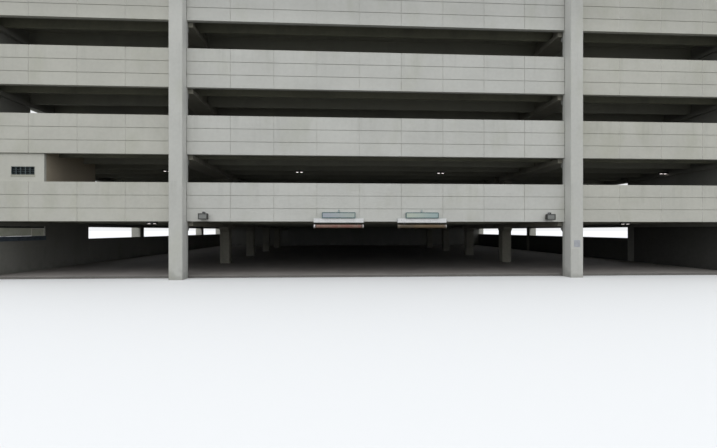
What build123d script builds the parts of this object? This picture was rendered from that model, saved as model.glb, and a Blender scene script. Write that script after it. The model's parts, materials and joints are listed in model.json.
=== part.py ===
from build123d import *
import math
import os

# A parking garage of precast concrete, five parking levels high, in millimetres.
# The origin is on the ground in the middle of the footprint.
# X runs along the front to the right, Y runs to the back and Z is up.

# Storeys and spandrels
storey = 3050
deck_count = 4
entrance_clear = 2610
course = 590
courses = 3
spandrel_thickness = 220
reveal_width = 26
reveal_depth = 20

# Bays: the middle bay and the side bays along the front, and the rows of columns to the back
middle_bay = 18300
side_bay = 9000
middle_panels = 9
side_panels = 4
column_row_tees = [2, 4, 6, 8]

# Double tees
tee_width = 3660
tee_count = 10
tee_depth = 700
flange = 100
stem_spacing = 1830
stem_top = 190
stem_bottom = 120
tee_joint = 12
end_gap = 20

# Columns, girders and their bearings
column_width = 600
column_projection = 500
column_chamfer = 25
ledge_width = 200
ledge_depth = 210
corbel_reach = 170
corbel_height = 290
corbel_nose = 150

# Ground floor
slab_thickness = 100
low_wall_top = 1670
left_low_wall = 3850
coping_overhang = 25
coping_height = 230
coping_chamfer = 15
middle_wall_panels = 5
side_wall_panels = 2
wall_joint = 12

# Short walls between the side spandrels next to the left front corner
corner_wall = 2760

# Closed room at the left end of level 2
room_width = 2720
room_tees = 1
room_wall = 190
infill_wall = 130
stem_clearance = 10
louvre_width = 1030
louvre_height = 460
louvre_offset = 400
louvre_sill = 230
louvre_cells = 5
louvre_frame = 30
louvre_depth = 90
louvre_bar_depth = 22
louvre_blades = 5
louvre_blade = 10
louvre_blade_depth = 45
louvre_blade_set_back = 56
louvre_tilt = 35

# Signs over the entrance
sign_spacing = 3880
sign_box_width = 1540
sign_box_height = 270
sign_box_depth = 170
sign_box_base = 2760
sign_panel_width = 2300
sign_panel_height = 200
sign_panel_depth = 120
sign_corner = 12
sign_post_width = 60
sign_post_height = 130
sign_post_depth = 80

# Hanging clearance bars
bar_length = 2280
bar_radius = 80
bar_centre = 2385
cap_length = 70
cap_lip = 5
bar_pivot = 2518
hanger_spacing = 1640
bar_line = 95
pin_radius = 6
eye_radius = 8
eye_wall = 10
seat_gap = 0.3
strap_thickness = 8
strap_width = 40
strap_span = 130
eye_chamfer = 8
clevis_plate = 8
clevis_gap = 3
clevis_width = 40
clevis_chamfer = 10
clevis_drop = 22

# Floodlights on the lowest spandrel
floodlight_inset = 800
floodlight_width = 410
floodlight_height = 270
floodlight_depth = 170
floodlight_centre = 2830
floodlight_wall = 18
floodlight_back_chamfer = 45
floodlight_stand_off = 90
arm_width = 60
arm_thickness = 40
arm_rise = 75

# Board on the left side, and the lamps under the decks
board_length = 3100
board_height = 450
board_base = 1910
board_thickness = 30
board_gap_from_column = 720
board_post = 60
board_post_inset = 600
lamp_length = 460
lamp_width = 200
lamp_height = 90
ledge_lamp_deck = 1
ledge_lamp_line = -14200

# Places worked out from the driving sizes
spandrel_height = course * courses
half_depth = tee_count * tee_width / 2
face_y = half_depth + spandrel_thickness
front_reach = face_y + column_projection
column_line = middle_bay / 2
end_line = column_line + side_bay
half_column = column_width / 2
half_width = end_line - half_column
face_x = half_width + spandrel_thickness
side_reach = face_x + column_projection
building_height = entrance_clear + (deck_count - 1) * storey + spandrel_height
column_rows = [tees * tee_width - half_depth for tees in column_row_tees]
corbel_width = column_width - 2 * column_chamfer

# The four sides: direction along the wall, direction into the building, distance of the outer face
sides = {
    "front": (Vector(1, 0, 0), Vector(0, 1, 0), face_y),
    "back": (Vector(-1, 0, 0), Vector(0, -1, 0), face_y),
    "left": (Vector(0, -1, 0), Vector(1, 0, 0), face_x),
    "right": (Vector(0, 1, 0), Vector(-1, 0, 0), face_x),
}


def underside(deck):
    """Height of the underside of one deck's spandrels and tees, with decks counted from 0."""
    return entrance_clear + deck * storey


def deck_top(deck):
    """Height of one deck's top."""
    return underside(deck) + tee_depth


def level_of(deck):
    """Number of the parking level that one deck makes."""
    return deck + 2


def section_plane(side, start, height):
    """Plane across a wall: x runs into the building from the outer face, y runs up."""
    along, inward, reach = sides[side]
    origin = along * start - inward * reach + Vector(0, 0, height)
    return Plane(origin=origin, x_dir=inward, z_dir=along)


def face_plane(side, start, height):
    """Plane on a wall's outer face: x runs along the wall, y runs up."""
    along, inward, reach = sides[side]
    origin = along * start - inward * reach + Vector(0, 0, height)
    return Plane(origin=origin, x_dir=along, z_dir=-inward)


def front_bays():
    """Start and length of the clear bays along the front and the back, with their panel counts."""
    side_clear = side_bay - column_width
    middle_clear = middle_bay - column_width
    return [
        (-half_width, side_clear, side_panels),
        (half_column - column_line, middle_clear, middle_panels),
        (column_line + half_column, side_clear, side_panels),
    ]


def side_bays():
    """Start and length of the clear bays along the sides, between the columns."""
    starts = [-half_depth] + [row + half_column for row in column_rows]
    ends = [row - half_column for row in column_rows] + [half_depth]
    return [(start, end - start) for start, end in zip(starts, ends)]


def spandrel_section(side, start, deck, with_ledge):
    """Section of a spandrel: equal courses, and a ledge below them where tees bear."""
    with BuildSketch(section_plane(side, start, underside(deck))) as section:
        Rectangle(spandrel_thickness, spandrel_height, align=(Align.MIN, Align.MIN))
        if with_ledge:
            Rectangle(spandrel_thickness + ledge_width, ledge_depth, align=(Align.MIN, Align.MAX))
        with Locations([(0, course * (joint + 1)) for joint in range(courses - 1)]):
            Rectangle(2 * reveal_depth, reveal_width, mode=Mode.SUBTRACT)
    return section.sketch


def upright_reveals(side, start, length, deck, panels):
    """Outlines of the upright reveals on a spandrel's face."""
    with BuildSketch(face_plane(side, start, underside(deck))) as reveals:
        with Locations([(length / panels * (joint + 1), 0) for joint in range(panels - 1)]):
            Rectangle(reveal_width, spandrel_height, align=(Align.CENTER, Align.MIN))
    return reveals.sketch


def wall_outlines(side, start, length, panels=1, height=0):
    """Outlines of a wall's panels at one height, in the line of the spandrels."""
    along, inward, reach = sides[side]
    panel = length / panels
    joint = wall_joint if panels > 1 else 0
    size = along * (panel - joint) + inward * spandrel_thickness
    first = along * (start + panel / 2) - inward * (reach - spandrel_thickness / 2)
    outlines = []
    for number in range(panels):
        middle = first + along * (panel * number)
        with BuildSketch(Plane.XY.offset(height)) as outline:
            with Locations((middle.X, middle.Y)):
                Rectangle(abs(size.X), abs(size.Y))
        outlines.append(outline.sketch)
    return outlines


def column_outline(x_low, x_high, y_low, y_high):
    """Outline of one chamfered column."""
    with BuildSketch() as outline:
        with Locations(((x_low + x_high) / 2, (y_low + y_high) / 2)):
            Rectangle(x_high - x_low, y_high - y_low)
        chamfer(outline.vertices(), column_chamfer)
    return outline.sketch


def corbel_outlines(centre_x, face, direction):
    """Outlines of the corbels under the girders, on a column face at the given y."""
    tip = face + direction * corbel_reach
    with BuildSketch(Plane.YZ.offset(centre_x - half_column + column_chamfer)) as corbels:
        for deck in range(deck_count):
            top = underside(deck) - ledge_depth
            with BuildLine():
                Polyline(
                    (face, top),
                    (tip, top),
                    (tip, top - corbel_height + corbel_nose),
                    (face, top - corbel_height),
                    close=True,
                )
            make_face()
    return corbels.sketch


def column_footprints():
    """Rectangles that the columns stand on: x_low, x_high, y_low, y_high."""
    spans = [
        (-side_reach, -half_width),
        (-column_line - half_column, half_column - column_line),
        (column_line - half_column, column_line + half_column),
        (half_width, side_reach),
    ]
    front = [(low, high, -front_reach, -half_depth) for low, high in spans]
    back = [(low, high, half_depth, front_reach) for low, high in spans]
    left = [(*spans[0], row - half_column, row + half_column) for row in column_rows]
    right = [(*spans[3], row - half_column, row + half_column) for row in column_rows]
    inner = [(*spans[line], row - half_column, row + half_column) for line in (1, 2) for row in column_rows]
    return {"front": front, "back": back, "side": left + right, "inner": inner}


def write(piece, name):
    """Label a finished piece and write its file."""
    piece.part.label = name
    export_step(piece.part, f"parts/{name}.step")


os.makedirs("parts", exist_ok=True)
footprints = column_footprints()

# Ground slab, cast between the outer walls and around the interior columns
with BuildPart() as ground_slab:
    with BuildSketch():
        Rectangle(2 * half_width, 2 * half_depth)
        for x_low, x_high, y_low, y_high in footprints["inner"]:
            with Locations(((x_low + x_high) / 2, (y_low + y_high) / 2)):
                Rectangle(x_high - x_low, y_high - y_low, mode=Mode.SUBTRACT)
    extrude(amount=slab_thickness)
write(ground_slab, "ground_slab")

# Front columns, the inner two with corbels for the girders
for number, (x_low, x_high, y_low, y_high) in enumerate(footprints["front"], start=1):
    with BuildPart() as front_column:
        extrude(column_outline(x_low, x_high, y_low, y_high), amount=building_height)
        if number in (2, 3):
            extrude(corbel_outlines((x_low + x_high) / 2, y_high, 1), amount=corbel_width)
    write(front_column, f"front_column_{number}")

# Back columns
with BuildPart() as back_columns:
    for number, (x_low, x_high, y_low, y_high) in enumerate(footprints["back"], start=1):
        extrude(column_outline(x_low, x_high, y_low, y_high), amount=building_height)
        if number in (2, 3):
            extrude(corbel_outlines((x_low + x_high) / 2, y_low, -1), amount=corbel_width)
write(back_columns, "back_columns")

# Side columns, which stand out from the side spandrels as the front ones do
with BuildPart() as side_columns:
    for x_low, x_high, y_low, y_high in footprints["side"]:
        extrude(column_outline(x_low, x_high, y_low, y_high), amount=building_height)
write(side_columns, "side_columns")

# Interior columns end flush with the top deck
with BuildPart() as interior_columns:
    for x_low, x_high, y_low, y_high in footprints["inner"]:
        extrude(column_outline(x_low, x_high, y_low, y_high), amount=deck_top(deck_count - 1))
        extrude(corbel_outlines((x_low + x_high) / 2, y_low, -1), amount=corbel_width)
        extrude(corbel_outlines((x_low + x_high) / 2, y_high, 1), amount=corbel_width)
write(interior_columns, "interior_columns")

# Girders: inverted tees between the columns of each line, with their ends on the corbels
for deck in range(deck_count):
    bottom = underside(deck) - ledge_depth
    with BuildPart() as girders:
        for start, length in side_bays():
            with BuildSketch(Plane.XZ.offset(-(start + length - end_gap))):
                with Locations((-column_line, bottom), (column_line, bottom)):
                    Rectangle(column_width, tee_depth + ledge_depth, align=(Align.CENTER, Align.MIN))
                    Rectangle(column_width + 2 * ledge_width, ledge_depth, align=(Align.CENTER, Align.MIN))
            extrude(amount=length - 2 * end_gap)
    write(girders, f"girders_level_{level_of(deck)}")

# Decks: double tees side by side, with their stems on the ledges of girders and side spandrels
stem_height = tee_depth - flange
stem_angle = math.degrees(math.atan2(stem_height, (stem_top - stem_bottom) / 2))
tee_centres = [tee_width * (number + 0.5) - half_depth for number in range(tee_count)]
stem_lines = [centre + offset for centre in tee_centres for offset in (-stem_spacing / 2, stem_spacing / 2)]
for deck in range(deck_count):
    with BuildPart() as tees:
        for start, length, panels in front_bays():
            with BuildSketch(Plane.YZ.offset(start + end_gap)):
                with Locations([(centre, deck_top(deck)) for centre in tee_centres]):
                    Rectangle(tee_width - tee_joint, flange, align=(Align.CENTER, Align.MAX))
                with Locations([(line, underside(deck) + stem_height / 2) for line in stem_lines]):
                    Trapezoid(stem_top, stem_height, stem_angle, rotation=180)
            extrude(amount=length - 2 * end_gap)
    write(tees, f"deck_level_{level_of(deck)}")

# Front spandrels, three to a level
for deck in range(deck_count):
    with BuildPart() as front_spandrels:
        for start, length, panels in front_bays():
            extrude(spandrel_section("front", start, deck, False), amount=length)
            reveals = upright_reveals("front", start, length, deck, panels)
            extrude(reveals, amount=-reveal_depth, mode=Mode.SUBTRACT)
    write(front_spandrels, f"front_spandrels_level_{level_of(deck)}")

# Back spandrels
with BuildPart() as back_spandrels:
    for deck in range(deck_count):
        for start, length, panels in front_bays():
            extrude(spandrel_section("back", start, deck, False), amount=length)
write(back_spandrels, "back_spandrels")

# Side spandrels hang lower than the others and carry the tees on a ledge. Walls stand between
# them next to the front corners: short ones at the left, above the closed room, and ones that fill
# the whole front bay at the right. The left side's bays are counted from the back
left_front_bay = side_bays()[-1]
right_front_bay = side_bays()[0]
side_walls = {
    "left": (half_depth - corner_wall, corner_wall, range(1, deck_count - 1)),
    "right": (*right_front_bay, range(deck_count - 1)),
}
for side, (wall_start, wall_length, wall_decks) in side_walls.items():
    with BuildPart() as side_spandrels:
        for deck in range(deck_count):
            for start, length in side_bays():
                extrude(spandrel_section(side, start, deck, True), amount=length)
    with BuildPart() as upper_walls:
        for deck in wall_decks:
            base = underside(deck) + spandrel_height
            wall_height = underside(deck + 1) - ledge_depth - base
            for outline in wall_outlines(side, wall_start, wall_length, height=base):
                extrude(outline, amount=wall_height)
    solids = [*side_spandrels.part.solids(), *upper_walls.part.solids()]
    whole_side = Compound(children=solids, label=f"{side}_spandrels")
    export_step(whole_side, f"parts/{whole_side.label}.step")

# Walls at ground level: low ones along the sides, and full ones along the back, in the right front
# bay and in the rear part of the left front bay
side_clear_height = entrance_clear - ledge_depth
with BuildPart() as left_ground_walls:
    for start, length in side_bays():
        for outline in wall_outlines("left", start, length):
            extrude(outline, amount=low_wall_top)
    start, length = left_front_bay
    for outline in wall_outlines("left", start, length - left_low_wall):
        extrude(outline, amount=side_clear_height)
write(left_ground_walls, "left_ground_walls")

with BuildPart() as right_ground_walls:
    for start, length in side_bays():
        top = side_clear_height if (start, length) == right_front_bay else low_wall_top
        for outline in wall_outlines("right", start, length):
            extrude(outline, amount=top)
write(right_ground_walls, "right_ground_walls")

with BuildPart() as back_ground_walls:
    for start, length, panels in front_bays():
        wall_panels = middle_wall_panels if panels == middle_panels else side_wall_panels
        for outline in wall_outlines("back", start, length, wall_panels):
            extrude(outline, amount=entrance_clear)
write(back_ground_walls, "back_ground_walls")

# Coping on the low wall at the left front corner
with BuildPart() as left_wall_coping:
    with BuildSketch(section_plane("left", half_depth - left_low_wall, low_wall_top)) as outline:
        with Locations((spandrel_thickness / 2, 0)):
            Rectangle(
                spandrel_thickness + 2 * coping_overhang,
                coping_height,
                align=(Align.CENTER, Align.MIN),
            )
        chamfer(outline.vertices().group_by(Axis.Z)[-1], coping_chamfer)
    extrude(amount=left_low_wall)
write(left_wall_coping, "left_wall_coping")

# Closed room: outer walls stand on the spandrels, inner ones on the deck under the tees
room_right = room_width - half_width
room_back = room_tees * tee_width - half_depth
sill = underside(0) + spandrel_height
louvre_left = room_right - louvre_offset - louvre_width
louvre_bottom = sill + louvre_sill

with BuildPart() as room_front_wall:
    with Locations((-half_width, -half_depth, sill)):
        Box(
            room_width,
            infill_wall,
            underside(1) - sill,
            align=(Align.MIN, Align.MAX, Align.MIN),
        )
    with Locations((louvre_left, -half_depth, louvre_bottom)):
        Box(
            louvre_width,
            infill_wall,
            louvre_height,
            align=(Align.MIN, Align.MAX, Align.MIN),
            mode=Mode.SUBTRACT,
        )
write(room_front_wall, "room_front_wall")

with BuildPart() as room_left_wall:
    with Locations((-half_width, -half_depth, sill)):
        Box(
            infill_wall,
            room_back + half_depth,
            underside(1) - ledge_depth - sill,
            align=(Align.MAX, Align.MIN, Align.MIN),
        )
write(room_left_wall, "room_left_wall")

# The side wall is cut out around the stems that cross it
inner_height = underside(1) + stem_height - deck_top(0)
with BuildPart() as room_side_wall:
    with Locations((room_right, -half_depth, deck_top(0))):
        Box(
            room_wall,
            room_back + half_depth,
            inner_height,
            align=(Align.MAX, Align.MIN, Align.MIN),
        )
    for line in stem_lines[: 2 * room_tees]:
        with Locations((room_right, line, underside(1) - stem_clearance)):
            Box(
                room_wall,
                stem_top + 2 * stem_clearance,
                stem_height + stem_clearance,
                align=(Align.MAX, Align.CENTER, Align.MIN),
                mode=Mode.SUBTRACT,
            )
write(room_side_wall, "room_side_wall")

# The back wall is cut out around the ledge of the side spandrel above
with BuildPart() as room_back_wall:
    with Locations((-half_width, room_back, deck_top(0))):
        Box(
            room_width - room_wall,
            room_wall,
            inner_height,
            align=(Align.MIN, Align.MAX, Align.MIN),
        )
    with Locations((-half_width, room_back, underside(1) - ledge_depth - stem_clearance)):
        Box(
            ledge_width + stem_clearance,
            room_wall,
            ledge_depth + 2 * stem_clearance,
            align=(Align.MIN, Align.MAX, Align.MIN),
            mode=Mode.SUBTRACT,
        )
write(room_back_wall, "room_back_wall")

# Louvre: a frame in the opening, upright bars in front and tilted blades behind them
louvre_face = -half_depth - infill_wall
cell_width = (louvre_width - louvre_frame) / louvre_cells
blade_pitch = (louvre_height - 2 * louvre_frame) / louvre_blades
with BuildPart() as room_louvre:
    with BuildSketch(Plane.XZ.offset(-louvre_face)):
        with Locations((louvre_left + louvre_width / 2, louvre_bottom + louvre_height / 2)):
            Rectangle(louvre_width, louvre_height)
            Rectangle(louvre_width - 2 * louvre_frame, louvre_height - 2 * louvre_frame, mode=Mode.SUBTRACT)
    extrude(amount=-louvre_depth)
    for number in range(1, louvre_cells):
        with Locations((louvre_left + cell_width * number, louvre_face, louvre_bottom)):
            Box(
                louvre_frame,
                louvre_bar_depth,
                louvre_height,
                align=(Align.MIN, Align.MIN, Align.MIN),
            )
    for number in range(louvre_blades):
        blade_height = louvre_bottom + louvre_frame + blade_pitch * (number + 0.5)
        blade_y = louvre_face + louvre_blade_set_back
        blade_centre = Vector(louvre_left + louvre_width / 2, blade_y, blade_height)
        with Locations(Location(blade_centre, (louvre_tilt, 0, 0))):
            Box(louvre_width - louvre_frame, louvre_blade_depth, louvre_blade)
write(room_louvre, "room_louvre")


def sign_centre(side):
    """X of the middle of the sign and the bar on one side, -1 left or 1 right."""
    return side * sign_spacing / 2


def case_outline(centre_x, base, width, height):
    """Outline of a flat case on the front face of the spandrels."""
    with BuildSketch(face_plane("front", centre_x, base)) as outline:
        Rectangle(width, height, align=(Align.CENTER, Align.MIN))
    return outline.sketch


# Signs: a lower panel, a shorter case on it and a small post on top
panel_base = sign_box_base - sign_panel_height
for side, side_name in ((-1, "left"), (1, "right")):
    cases = [
        (panel_base, sign_panel_width, sign_panel_height, sign_panel_depth),
        (sign_box_base, sign_box_width, sign_box_height, sign_box_depth),
        (sign_box_base + sign_box_height, sign_post_width, sign_post_height, sign_post_depth),
    ]
    solids = []
    for base, width, height, depth in cases:
        with BuildPart() as case:
            extrude(case_outline(sign_centre(side), base, width, height), amount=depth)
            chamfer(case.faces().sort_by(Axis.Y)[0].edges(), sign_corner)
        solids.append(case.part.solid())
    sign = Compound(children=solids, label=f"sign_{side_name}")
    export_step(sign, f"parts/{sign.label}.step")

# Clevises under the sign panels, each with the pin that a bar hangs from
hanger_lines = [
    sign_centre(side) + end * hanger_spacing / 2 for side in (-1, 1) for end in (-1, 1)
]
bar_y = -face_y - bar_line
plate_offset = strap_thickness / 2 + clevis_gap
with BuildPart() as bar_brackets:
    for line in hanger_lines:
        for cheek in (-1, 1):
            inner_face = line + cheek * plate_offset
            with BuildSketch(Plane.YZ.offset(inner_face)) as cheek_outline:
                with Locations((bar_y, bar_pivot - clevis_drop)):
                    Rectangle(
                        clevis_width,
                        panel_base - bar_pivot + clevis_drop,
                        align=(Align.CENTER, Align.MIN),
                    )
                chamfer(cheek_outline.vertices().group_by(Axis.Z)[0], clevis_chamfer)
            extrude(amount=cheek * clevis_plate)
        with BuildSketch(Plane.YZ.offset(line - plate_offset)):
            with Locations((bar_y, bar_pivot)):
                Circle(pin_radius)
        extrude(amount=2 * plate_offset)
write(bar_brackets, "bar_brackets")

# Clearance bars: a closed tube, a cap on each end and two saddles whose eyes hang on the pins
eye_centre = bar_pivot + pin_radius + seat_gap - eye_radius
eye_reach = eye_radius + eye_wall
strap_inner = bar_radius + seat_gap
for side, side_name in ((-1, "left"), (1, "right")):
    tube_half = bar_length / 2 - cap_length
    with BuildPart() as tube:
        with BuildSketch(Plane.YZ.offset(sign_centre(side) - tube_half)):
            with Locations((bar_y, bar_centre)):
                Circle(bar_radius)
        extrude(amount=2 * tube_half)
    write(tube, f"clearance_bar_{side_name}")

    with BuildPart() as caps:
        for end in (-1, 1):
            with BuildSketch(Plane.YZ.offset(sign_centre(side) + end * tube_half)):
                with Locations((bar_y, bar_centre)):
                    Circle(bar_radius + cap_lip)
            extrude(amount=end * cap_length)
    write(caps, f"bar_caps_{side_name}")

    with BuildPart() as straps:
        for end in (-1, 1):
            line = sign_centre(side) + end * hanger_spacing / 2
            with BuildSketch(Plane.YZ.offset(line - strap_width / 2)):
                with Locations((bar_y, bar_centre)):
                    Circle(strap_inner + strap_thickness)
                    Circle(strap_inner, mode=Mode.SUBTRACT)
                    Rectangle(
                        strap_span,
                        strap_inner + strap_thickness,
                        align=(Align.CENTER, Align.MIN),
                        mode=Mode.INTERSECT,
                    )
            extrude(amount=strap_width)
            eye_base = bar_centre + strap_inner + strap_thickness / 2
            with BuildSketch(Plane.YZ.offset(line - strap_thickness / 2)) as eye:
                with Locations((bar_y, eye_base)):
                    Rectangle(
                        2 * eye_reach,
                        eye_centre + eye_reach - eye_base,
                        align=(Align.CENTER, Align.MIN),
                    )
                chamfer(eye.vertices().group_by(Axis.Z)[-1], eye_chamfer)
                with Locations((bar_y, eye_centre)):
                    Circle(eye_radius, mode=Mode.SUBTRACT)
            extrude(amount=strap_thickness)
    write(straps, f"bar_straps_{side_name}")

# Floodlights on arms from the lowest spandrel, each an open housing with a recess for its lens
floodlight_line = column_line - half_column - floodlight_inset
floodlight_back = -face_y - floodlight_stand_off
floodlight_front = floodlight_back - floodlight_depth
floodlight_bottom = floodlight_centre - floodlight_height / 2
floodlight_top = floodlight_centre + floodlight_height / 2
arm_top = floodlight_top + arm_rise
arm_y = floodlight_back - floodlight_depth / 2
with BuildPart() as floodlights:
    for side in (-1, 1):
        with BuildSketch(Plane.YZ.offset(side * floodlight_line - floodlight_width / 2)):
            with BuildLine():
                Polyline(
                    (floodlight_front, floodlight_bottom),
                    (floodlight_back - floodlight_back_chamfer, floodlight_bottom),
                    (floodlight_back, floodlight_bottom + floodlight_back_chamfer),
                    (floodlight_back, floodlight_top - floodlight_back_chamfer),
                    (floodlight_back - floodlight_back_chamfer, floodlight_top),
                    (floodlight_front, floodlight_top),
                    close=True,
                )
            make_face()
        extrude(amount=floodlight_width)
        with BuildSketch(Plane.XZ.offset(-floodlight_front)):
            with Locations((side * floodlight_line, floodlight_centre)):
                Rectangle(floodlight_width - 2 * floodlight_wall, floodlight_height - 2 * floodlight_wall)
        extrude(amount=-floodlight_wall, mode=Mode.SUBTRACT)
        with BuildSketch(Plane.YZ.offset(side * floodlight_line - arm_width / 2)):
            with BuildLine():
                Polyline(
                    (-face_y, arm_top),
                    (-face_y, arm_top - arm_thickness),
                    (arm_y + arm_thickness / 2, arm_top - arm_thickness),
                    (arm_y + arm_thickness / 2, floodlight_top),
                    (arm_y - arm_thickness / 2, floodlight_top),
                    (arm_y - arm_thickness / 2, arm_top),
                    close=True,
                )
            make_face()
        extrude(amount=arm_width)
write(floodlights, "floodlights")

# Board over the coping on the left side, on two posts
board_x = -face_x + spandrel_thickness / 2
board_end = -half_depth + board_gap_from_column
with BuildPart() as direction_board:
    with Locations((board_x, board_end, board_base)):
        Box(
            board_thickness,
            board_length,
            board_height,
            align=(Align.MIN, Align.MIN, Align.MIN),
        )
    for place in (board_post_inset, board_length - board_post_inset):
        with Locations((board_x, board_end + place, low_wall_top + coping_height)):
            Box(
                board_post,
                board_post,
                board_base + board_height - low_wall_top - coping_height,
                align=(Align.MAX, Align.CENTER, Align.MIN),
            )
write(direction_board, "direction_board")

# Lamps under the stems near the front, by deck, stem and x, and one on the right ledge
lamps = [(0, 0, -10900), (0, 0, 12700), (1, 2, -11700), (1, 2, -4200), (1, 2, 4100), (1, 2, 11900)]
with BuildPart() as ceiling_lights:
    for deck, stem, line in lamps:
        with Locations((line, stem_lines[stem], underside(deck))):
            Box(lamp_length, lamp_width, lamp_height, align=(Align.CENTER, Align.CENTER, Align.MAX))
    with Locations((half_width - ledge_width, ledge_lamp_line, underside(ledge_lamp_deck))):
        Box(lamp_length, lamp_width, lamp_height, align=(Align.MAX, Align.CENTER, Align.MAX))
write(ceiling_lights, "ceiling_lights")
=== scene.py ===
"""Looks of a precast concrete parking garage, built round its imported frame.

Every length is in metres, in the frame's own axes: X runs along the front to the right,
Y runs to the back and Z is up. The frame's boxes give the places, and each class below
dresses one part of the building: joints, signs, hanging bars, floodlights, the closed
room, the guide board and the lamps under the decks.
"""
from __future__ import annotations

import json
import logging
import math
from dataclasses import dataclass
from enum import Enum

import bmesh
import bpy
from mathutils import Matrix, Vector

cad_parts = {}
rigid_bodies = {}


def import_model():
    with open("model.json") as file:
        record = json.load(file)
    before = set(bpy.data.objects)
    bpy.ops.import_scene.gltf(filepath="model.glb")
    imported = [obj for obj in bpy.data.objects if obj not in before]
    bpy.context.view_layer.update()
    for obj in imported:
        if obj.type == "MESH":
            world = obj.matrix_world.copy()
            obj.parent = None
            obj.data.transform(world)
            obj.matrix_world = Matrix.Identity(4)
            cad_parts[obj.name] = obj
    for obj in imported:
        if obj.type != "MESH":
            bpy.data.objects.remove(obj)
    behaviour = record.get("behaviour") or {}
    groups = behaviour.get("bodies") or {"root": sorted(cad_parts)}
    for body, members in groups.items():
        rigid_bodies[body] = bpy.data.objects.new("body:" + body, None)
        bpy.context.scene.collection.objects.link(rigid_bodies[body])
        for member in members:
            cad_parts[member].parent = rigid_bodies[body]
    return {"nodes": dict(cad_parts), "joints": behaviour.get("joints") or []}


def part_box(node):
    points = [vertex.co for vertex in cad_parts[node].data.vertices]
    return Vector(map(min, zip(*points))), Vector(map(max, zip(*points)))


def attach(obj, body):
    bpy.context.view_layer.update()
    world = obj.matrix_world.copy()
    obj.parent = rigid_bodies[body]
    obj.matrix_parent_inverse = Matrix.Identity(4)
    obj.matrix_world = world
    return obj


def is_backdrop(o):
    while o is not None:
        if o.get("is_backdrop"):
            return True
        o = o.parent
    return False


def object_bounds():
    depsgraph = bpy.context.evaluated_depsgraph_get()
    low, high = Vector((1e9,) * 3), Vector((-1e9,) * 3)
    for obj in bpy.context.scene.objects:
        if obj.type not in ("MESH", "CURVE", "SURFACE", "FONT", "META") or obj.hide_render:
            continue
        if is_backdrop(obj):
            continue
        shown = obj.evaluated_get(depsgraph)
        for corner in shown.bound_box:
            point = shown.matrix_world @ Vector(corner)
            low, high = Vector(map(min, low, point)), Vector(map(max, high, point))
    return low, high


Triple = tuple[float, float, float]
Colour = Triple
Socket = bpy.types.NodeSocket
Sockets = bpy.types.NodeOutputs

LOG = logging.getLogger("parking_garage")
GARAGE = "garage"
RIGHT = Vector((1, 0, 0))
FRONT = Vector((0, -1, 0))
UP = Vector((0, 0, 1))
FINE_EDGE = 0.002
EDGE = 0.003
BROAD_EDGE = 0.004


class Side(Enum):
    """The two halves of the entrance, with the sign of their X."""

    LEFT = -1
    RIGHT = 1

    @property
    def word(self) -> str:
        """Name of the side as the frame writes it."""
        return self.name.lower()

    @property
    def body(self) -> str:
        """Body that the side's hanging bar moves with."""
        return f"{self.word}_bar"


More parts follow.
